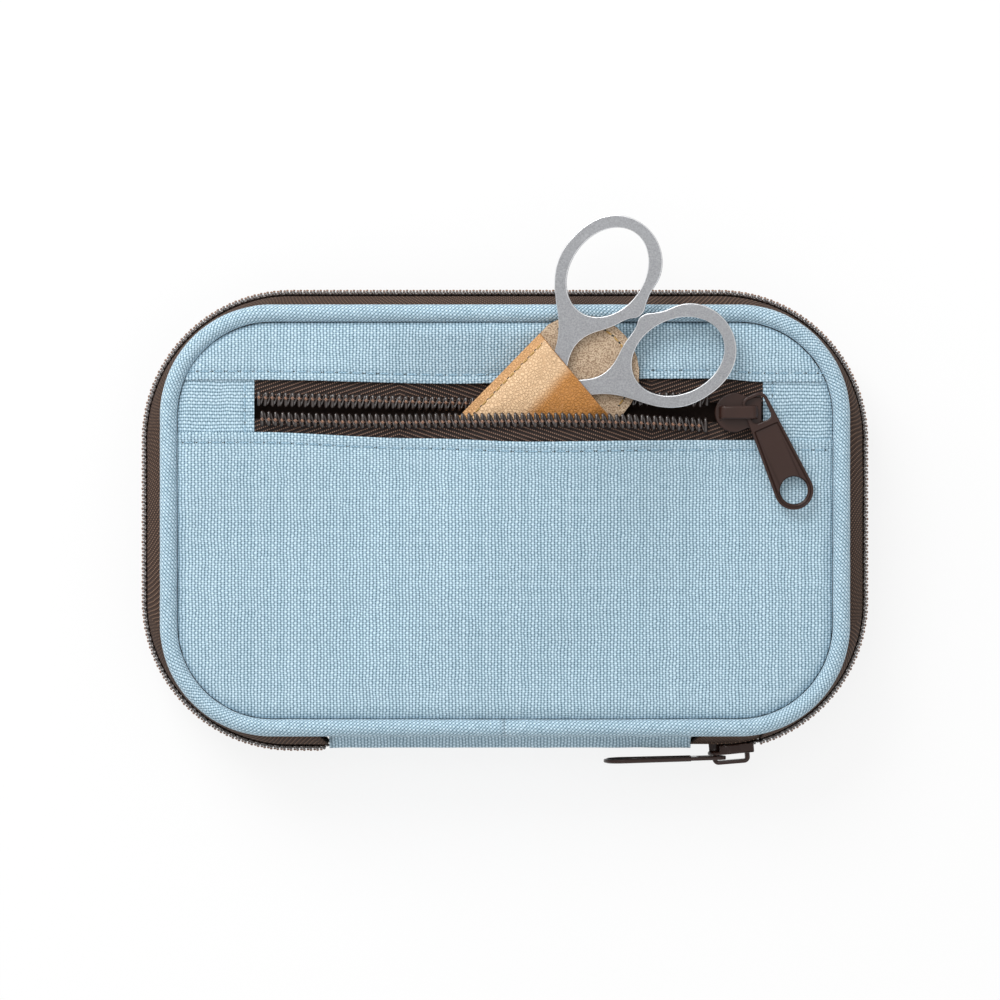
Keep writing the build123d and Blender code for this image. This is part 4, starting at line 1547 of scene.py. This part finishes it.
def leather_leaf(name, source, planes, height, finish):
    """A leather leaf in the scissors' plane. The cloth attribute holds u and w."""
    low, high = (sheath_tip - mm, -right_wide - 3 * mm), (leaf_end + mm, left_wide + 3 * mm)
    bm = trimmed_sheet(low, high, 1.1 * mm, planes)
    cloth = bm.verts.layers.float_vector.new("cloth")
    for vert in bm.verts:
        u, w = vert.co.x, vert.co.y
        vert[cloth] = (u / mm, w / mm, 0)
        vert.co = tool_point(u, w, height(u, w))
    face(bm, 1)
    piece = finish_mesh(name, bm, finish, "sheath")
    piece.data.materials.append(burnished)
    thicken(piece, leather_thick, rim=0.22 * mm).material_offset_rim = 1
    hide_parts(source)


leather_leaf("sheath_grain_flap", "sheath_flap", flap_planes, flap_height, grain_leather)
leather_leaf("sheath_suede_leaf", "sheath_back", leaf_planes, leaf_height, suede)


# %% [markdown]
# An ochre thread, thicker than that of the canvas and in shorter stitches, holds the leaves
# together along both sides and runs on round the end of the back leaf.

# %% Sheath stitching


def sheath_stitches(label, spots, height):
    points = [tool_point(u, w, height(u, w)) for u, w in spots]
    stitch_row(f"sheath_{label}_stitches", points, n_dir, (1.75 * mm, 0.65 * mm, 0.5 * mm), ochre_thread,
               "sheath", 0.25, holes=0.22 * mm)


seam_start_u = flap_mouth - 0.6 * mm
seam_run = int((seam_start_u - sheath_tip - 2 * mm) / mm)
side_us = [seam_start_u - i * mm for i in range(seam_run + 1)]
sheath_stitches("left", [(u, half_widths(u)[0] - thread_inset) for u in side_us], flap_height)
sheath_stitches("right", [(u, thread_inset - half_widths(u)[1]) for u in side_us], flap_height)
sheath_stitches("end", end_arc(thread_inset, 40), leaf_height)

# %% [markdown]
# ## Inside of the case
# With the lid open the lining shows. Both floors are covered in plain cotton, and a bias
# tape binds the raw edges. Two elastic bands on the floor are sewn down between arches that
# hold the hooks, and the lid has a slip pocket. None of this is in the photograph, so it is
# what such cases have.

# %% Linings and binding
floor_ring = Ring.of("back_lining")
binding_wide = 2.6 * mm


def lining_sheet(name, source, side, body):
    canvas_sheet(name, source, ring_planes(floor_ring), (-outer_x, -outer_y), (outer_x, outer_y), floor_ring,
                 side=side, finish=lining_cloth, body=body, thickness=0.55 * mm, step=3 * mm,
                 dive_depth=0.0, size=0.05 * mm)


def binding_loop(name, source, body, up):
    """A rounded tape over the raw edges round a floor."""
    low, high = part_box(source)
    ring = Ring.of(source)
    half, tall = binding_wide / 2, high.z - low.z
    over = [(-half + half * cos(a), up * tall * (0.25 + 0.75 * sin(a))) for a in even(0, pi, 8)]
    profile = [(-binding_wide, 0), (0, 0), *over]
    places = ring.places(0.5, 8.5, 2.0 * mm)
    sections, distances = round_ring(ring, places, low.z if up > 0 else high.z, profile)
    sweep(name, sections, distances, binding_cloth, body, source)


lining_sheet("floor_lining_cloth", "back_lining", 1, "back_half")
lining_sheet("lid_lining_cloth", "front_lining", -1, "front_half")
binding_loop("floor_binding_tape", "back_binding", "back_half", 1)
binding_loop("lid_binding_tape", "front_binding", "front_half", -1)

# %% [markdown]
# Each hook band is a strip of elastic over a flat base. It is drawn once in section, flat
# where it is sewn down and arched over each hook, and that section is swept across the
# band's width.

# %% Hook bands
loop_count = 8
loop_pitch = 10.5 * mm
loop_wide = 9.6 * mm
elastic_thick = 0.7 * mm
band_stitch = (1.9 * mm, 0.6 * mm, 0.5 * mm)


def band_path(low, high):
    """Upper elastic in section: flat where it is sewn down, arched over each hook."""
    base = low.z + elastic_thick
    tall = high.z - low.z - elastic_thick / 2 - elastic_thick
    path = [Vector((low.y, base))]
    for i in range(loop_count):
        middle = (low.y + high.y) / 2 + (i - (loop_count - 1) / 2) * loop_pitch
        for angle in even(pi, 0, 12):
            across, rise = flat_turn(angle, loop_wide / 2 - elastic_thick / 2, tall, tall_power=0.7)
            path.append(Vector((middle + across, base + abs(rise))))
    return path + [Vector((high.y, base))]


def thick_section(path, thickness):
    """The outline of a band of even thickness that follows a path."""
    upper, under = [], []
    for i, point in enumerate(path):
        before, after = path[max(i - 1, 0)], path[min(i + 1, len(path) - 1)]
        along = (after - before).normalized()
        side = Vector((-along.y, along.x))
        upper.append(point + side * thickness / 2)
        under.append(point - side * thickness / 2)
    return upper + under[::-1]


def hook_band(label):
    source = f"hook_band_{label}"
    low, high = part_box(source)
    xs = even(low.x, high.x, 10)
    top = low.z + elastic_thick
    arches = thick_section(band_path(low, high), elastic_thick * 0.9)
    base = [Vector(p) for p in ((low.y, low.z), (high.y, low.z), (high.y, top), (low.y, top))]
    for kind, section, replaced in (("elastic", arches, source), ("base", base, None)):
        sections = [[(x, p.x, p.y) for p in section] for x in xs]
        sweep(f"hook_{kind}_{label}", sections, xs, elastic_cloth, "back_half", replaced)
    for i in range(loop_count + 1):
        y = (low.y + high.y) / 2 + (i - loop_count / 2) * loop_pitch
        y = min(max(y, low.y + 0.5 * mm), high.y - 0.5 * mm)
        line = [Vector((x, y, low.z + elastic_thick * 1.5)) for x in xs]
        stitch_row(f"hook_{label}_stitches_{i}", line, up_z, band_stitch, coil_thread, "back_half")


hook_band("left")
hook_band("right")

# %% [markdown]
# The slip pocket is one sheet sewn on three sides. It stands off the lining towards its open
# edge, so its height grows from the seams to the middle of that edge.

# %% Slip pocket
lining_stitch = (2.2 * mm, 0.8 * mm, 0.45 * mm)


def slip_pocket():
    low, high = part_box("inner_pocket")
    half_x, half_y = (high.x - low.x) / 2, (high.y - low.y) / 2
    centre_y = (high.y + low.y) / 2
    ring = Ring(half_x, half_y, 8 * mm)
    planes = [(p + Vector((0, centre_y)), n) for p, n in ring_planes(ring, (0, 1, 2, 6, 7))]
    bm = trimmed_sheet((-half_x - mm, low.y - mm), (half_x + mm, high.y), 2.5 * mm, planes)
    cloth = bm.verts.layers.float_vector.new("cloth")
    depth = high.z - low.z
    for vert in bm.verts:
        x, y = vert.co.x, vert.co.y
        inward = min(half_x - abs(x), ring.inside(x, min(y - centre_y, 0)))
        stand = smooth(inward / (26 * mm)) * smooth((y - low.y) / (high.y - low.y))
        wave = wavy(x, y, 15 * mm, 5, 0.3 * mm) * smooth(inward / (5 * mm))
        vert.co.z = high.z - 0.9 * mm - (depth - 1.2 * mm) * stand + wave
        vert[cloth] = (x / mm, y / mm, 0)
    face(bm, -1)
    piece = finish_mesh("slip_pocket_cloth", bm, lining_cloth, "front_half")
    thicken(piece, 0.6 * mm)
    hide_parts("inner_pocket")
    declare_sheet(piece)
    surface = Surface(piece.data, -1)
    line = []
    for place in even(6.0, 9.0, 30):
        spot, _ = ring.grown(-1.6 * mm).at(place % 8)
        line.append(surface.spot(spot.x, min(spot.y + centre_y, high.y)))
    stitch_row("slip_pocket_stitches", line, -up_z, lining_stitch, lining_thread, "front_half")
    hem_x, hem_y = half_x - 2 * mm, high.y - 4 * mm
    seam_stitches("slip_hem_stitches", piece, (-hem_x, hem_y), (hem_x, hem_y), lining_thread, side=-1,
                  size=lining_stitch, holes=0.0)


slip_pocket()

# %% [markdown]
# ## Hard pieces
# The sliders, pulls and scissors keep their imported shapes. They take their finish and a
# small rounding along their sharp edges, which catches the light on a real one; on the
# scissors the rounding is also coloured a lighter steel as a painted highlight. The boards
# between canvas and lining are hidden, and the pocket's own lining is coloured dark brown as
# painted shade, so it shows as the dark floor behind the open zipper.

# %% Finishes on imported nodes
cast_rounding = 0.3 * mm
stamped_rounding = 0.18 * mm


def finish_node(name, finish, slot_name, rounding=0.0, rim=None):
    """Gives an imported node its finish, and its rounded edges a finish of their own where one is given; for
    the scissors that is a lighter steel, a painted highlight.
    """
    piece = nodes[name]
    piece.data.materials.clear()
    piece.data.materials.append(finish)
    if rounding:
        piece.modifiers.new("joined faces", "WELD").merge_threshold = 0.001 * mm
        edge = bevel(piece, "rolled edge", rounding, 3, 40)
        edge.use_clamp_overlap = False
        if rim:
            piece.data.materials.append(rim)
            edge.material = 1
    print(name, slot_name)


for name in ("main_slider", "main_pull", "pocket_slider", "pocket_pull"):
    finish_node(name, slider_paint, "slider_paint", cast_rounding)
# The scissors' rounded edges take the lighter steel, a painted highlight.
for name in ("scissor_half_left", "scissor_half_right"):
    finish_node(name, satin_steel, "scissor_steel", stamped_rounding, highlight_steel_edge)
finish_node("scissor_rivet", satin_steel, "scissor_steel")
# The pocket's lining takes the dark brown cloth, painted shade inside the pocket.
finish_node("pocket_backing", pocket_shade_cloth, "lining")
for name in ("back_stiffener", "front_stiffener"):
    finish_node(name, board, "board")

# %% [markdown]
# A slot is a name that someone who uses this part gives a finish of their own. Pieces that
# are cut from the same stuff would share a slot; the table below lists one for each soft
# finish, and the loop gives no piece a slot.

# %% Slots of the soft pieces
slot_of_finish = {
    "canvas": "canvas", "piping canvas": "canvas", "tab canvas": "canvas", "lining cloth": "lining",
    "binding cloth": "binding", "elastic cloth": "elastic", "zipper tape": "zipper_tape",
    "edge zipper tape": "zipper_tape", "coil nylon": "zipper_coil", "tan leather": "sheath_leather",
    "suede flesh side": "sheath_suede",
}
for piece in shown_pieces():
    finish = piece.data.materials[0].name if piece.data.materials else ""
    "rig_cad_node" not in piece and finish in slot_of_finish

# %% [markdown]
# ## Floor and light
# The case lies on a plain white ground. The floor is nearly white to the camera and still
# takes a soft shadow. A soft panel at the upper left gives the canvas its relief, a small
# one nearly overhead lights the flat steel, a low one at the left draws the bright lines on
# coils and rolled edges, and a wide one fills in.

# %% Floor
floor_material, tree, shader = material("floor white", Roughness=1.0, Base_Color=(0.86, 0.86, 0.86, 1),
                                        Specular_IOR_Level=0.0)
rays = add(tree, "ShaderNodeLightPath")
straight, glossy, through = [Value(rays, f"Is {kind} Ray") for kind in ("Camera", "Glossy", "Transmission")]
share = straight.math("MAXIMUM", glossy.math("MAXIMUM", through)) * 0.82
glow = Value(add(tree, "ShaderNodeEmission", {"Color": (1, 1, 1, 1), "Strength": 1.0}))
both = add(tree, "ShaderNodeMixShader", {0: share, 1: Value(shader), 2: glow})
feed(tree.nodes["Material Output"], Surface=Value(both))
floor_bm = bmesh.new()
bmesh.ops.create_grid(floor_bm, x_segments=1, y_segments=1, size=3.0)
floor = finish_mesh("floor", floor_bm, floor_material, None, smooth=False)

# %% Lights


def soft_panel(name, place, towards, size, power):
    """A square lamp that faces a point."""
    data = bpy.data.lights.new(name, "AREA")
    data.shape = "SQUARE"
    data.size = size
    data.energy = power
    lamp = bpy.data.objects.new(name, data)
    bpy.context.scene.collection.objects.link(lamp)
    lamp.location = place
    lamp.rotation_euler = (Vector(towards) - Vector(place)).to_track_quat("-Z", "Y").to_euler()


soft_panel("key_panel", (-0.45, 0.8, 0.9), (0, 0, 0), 0.6, 8.8)
soft_panel("top_panel", (-0.12, 0.36, 1.25), (0, 0, 0), 0.36, 1.8)
soft_panel("rim_panel", (-0.65, 0.58, 0.27), (0, 0, 0.02), 0.3, 1.7)
soft_panel("fill_panel", (0.5, -0.5, 1.1), (0, 0, 0), 1.0, 1.9)
world = bpy.data.worlds.new("studio")
bpy.context.scene.world = world
world.use_nodes = True
feed(world.node_tree.nodes["Background"], Color=(1, 1, 1, 1), Strength=0.62)
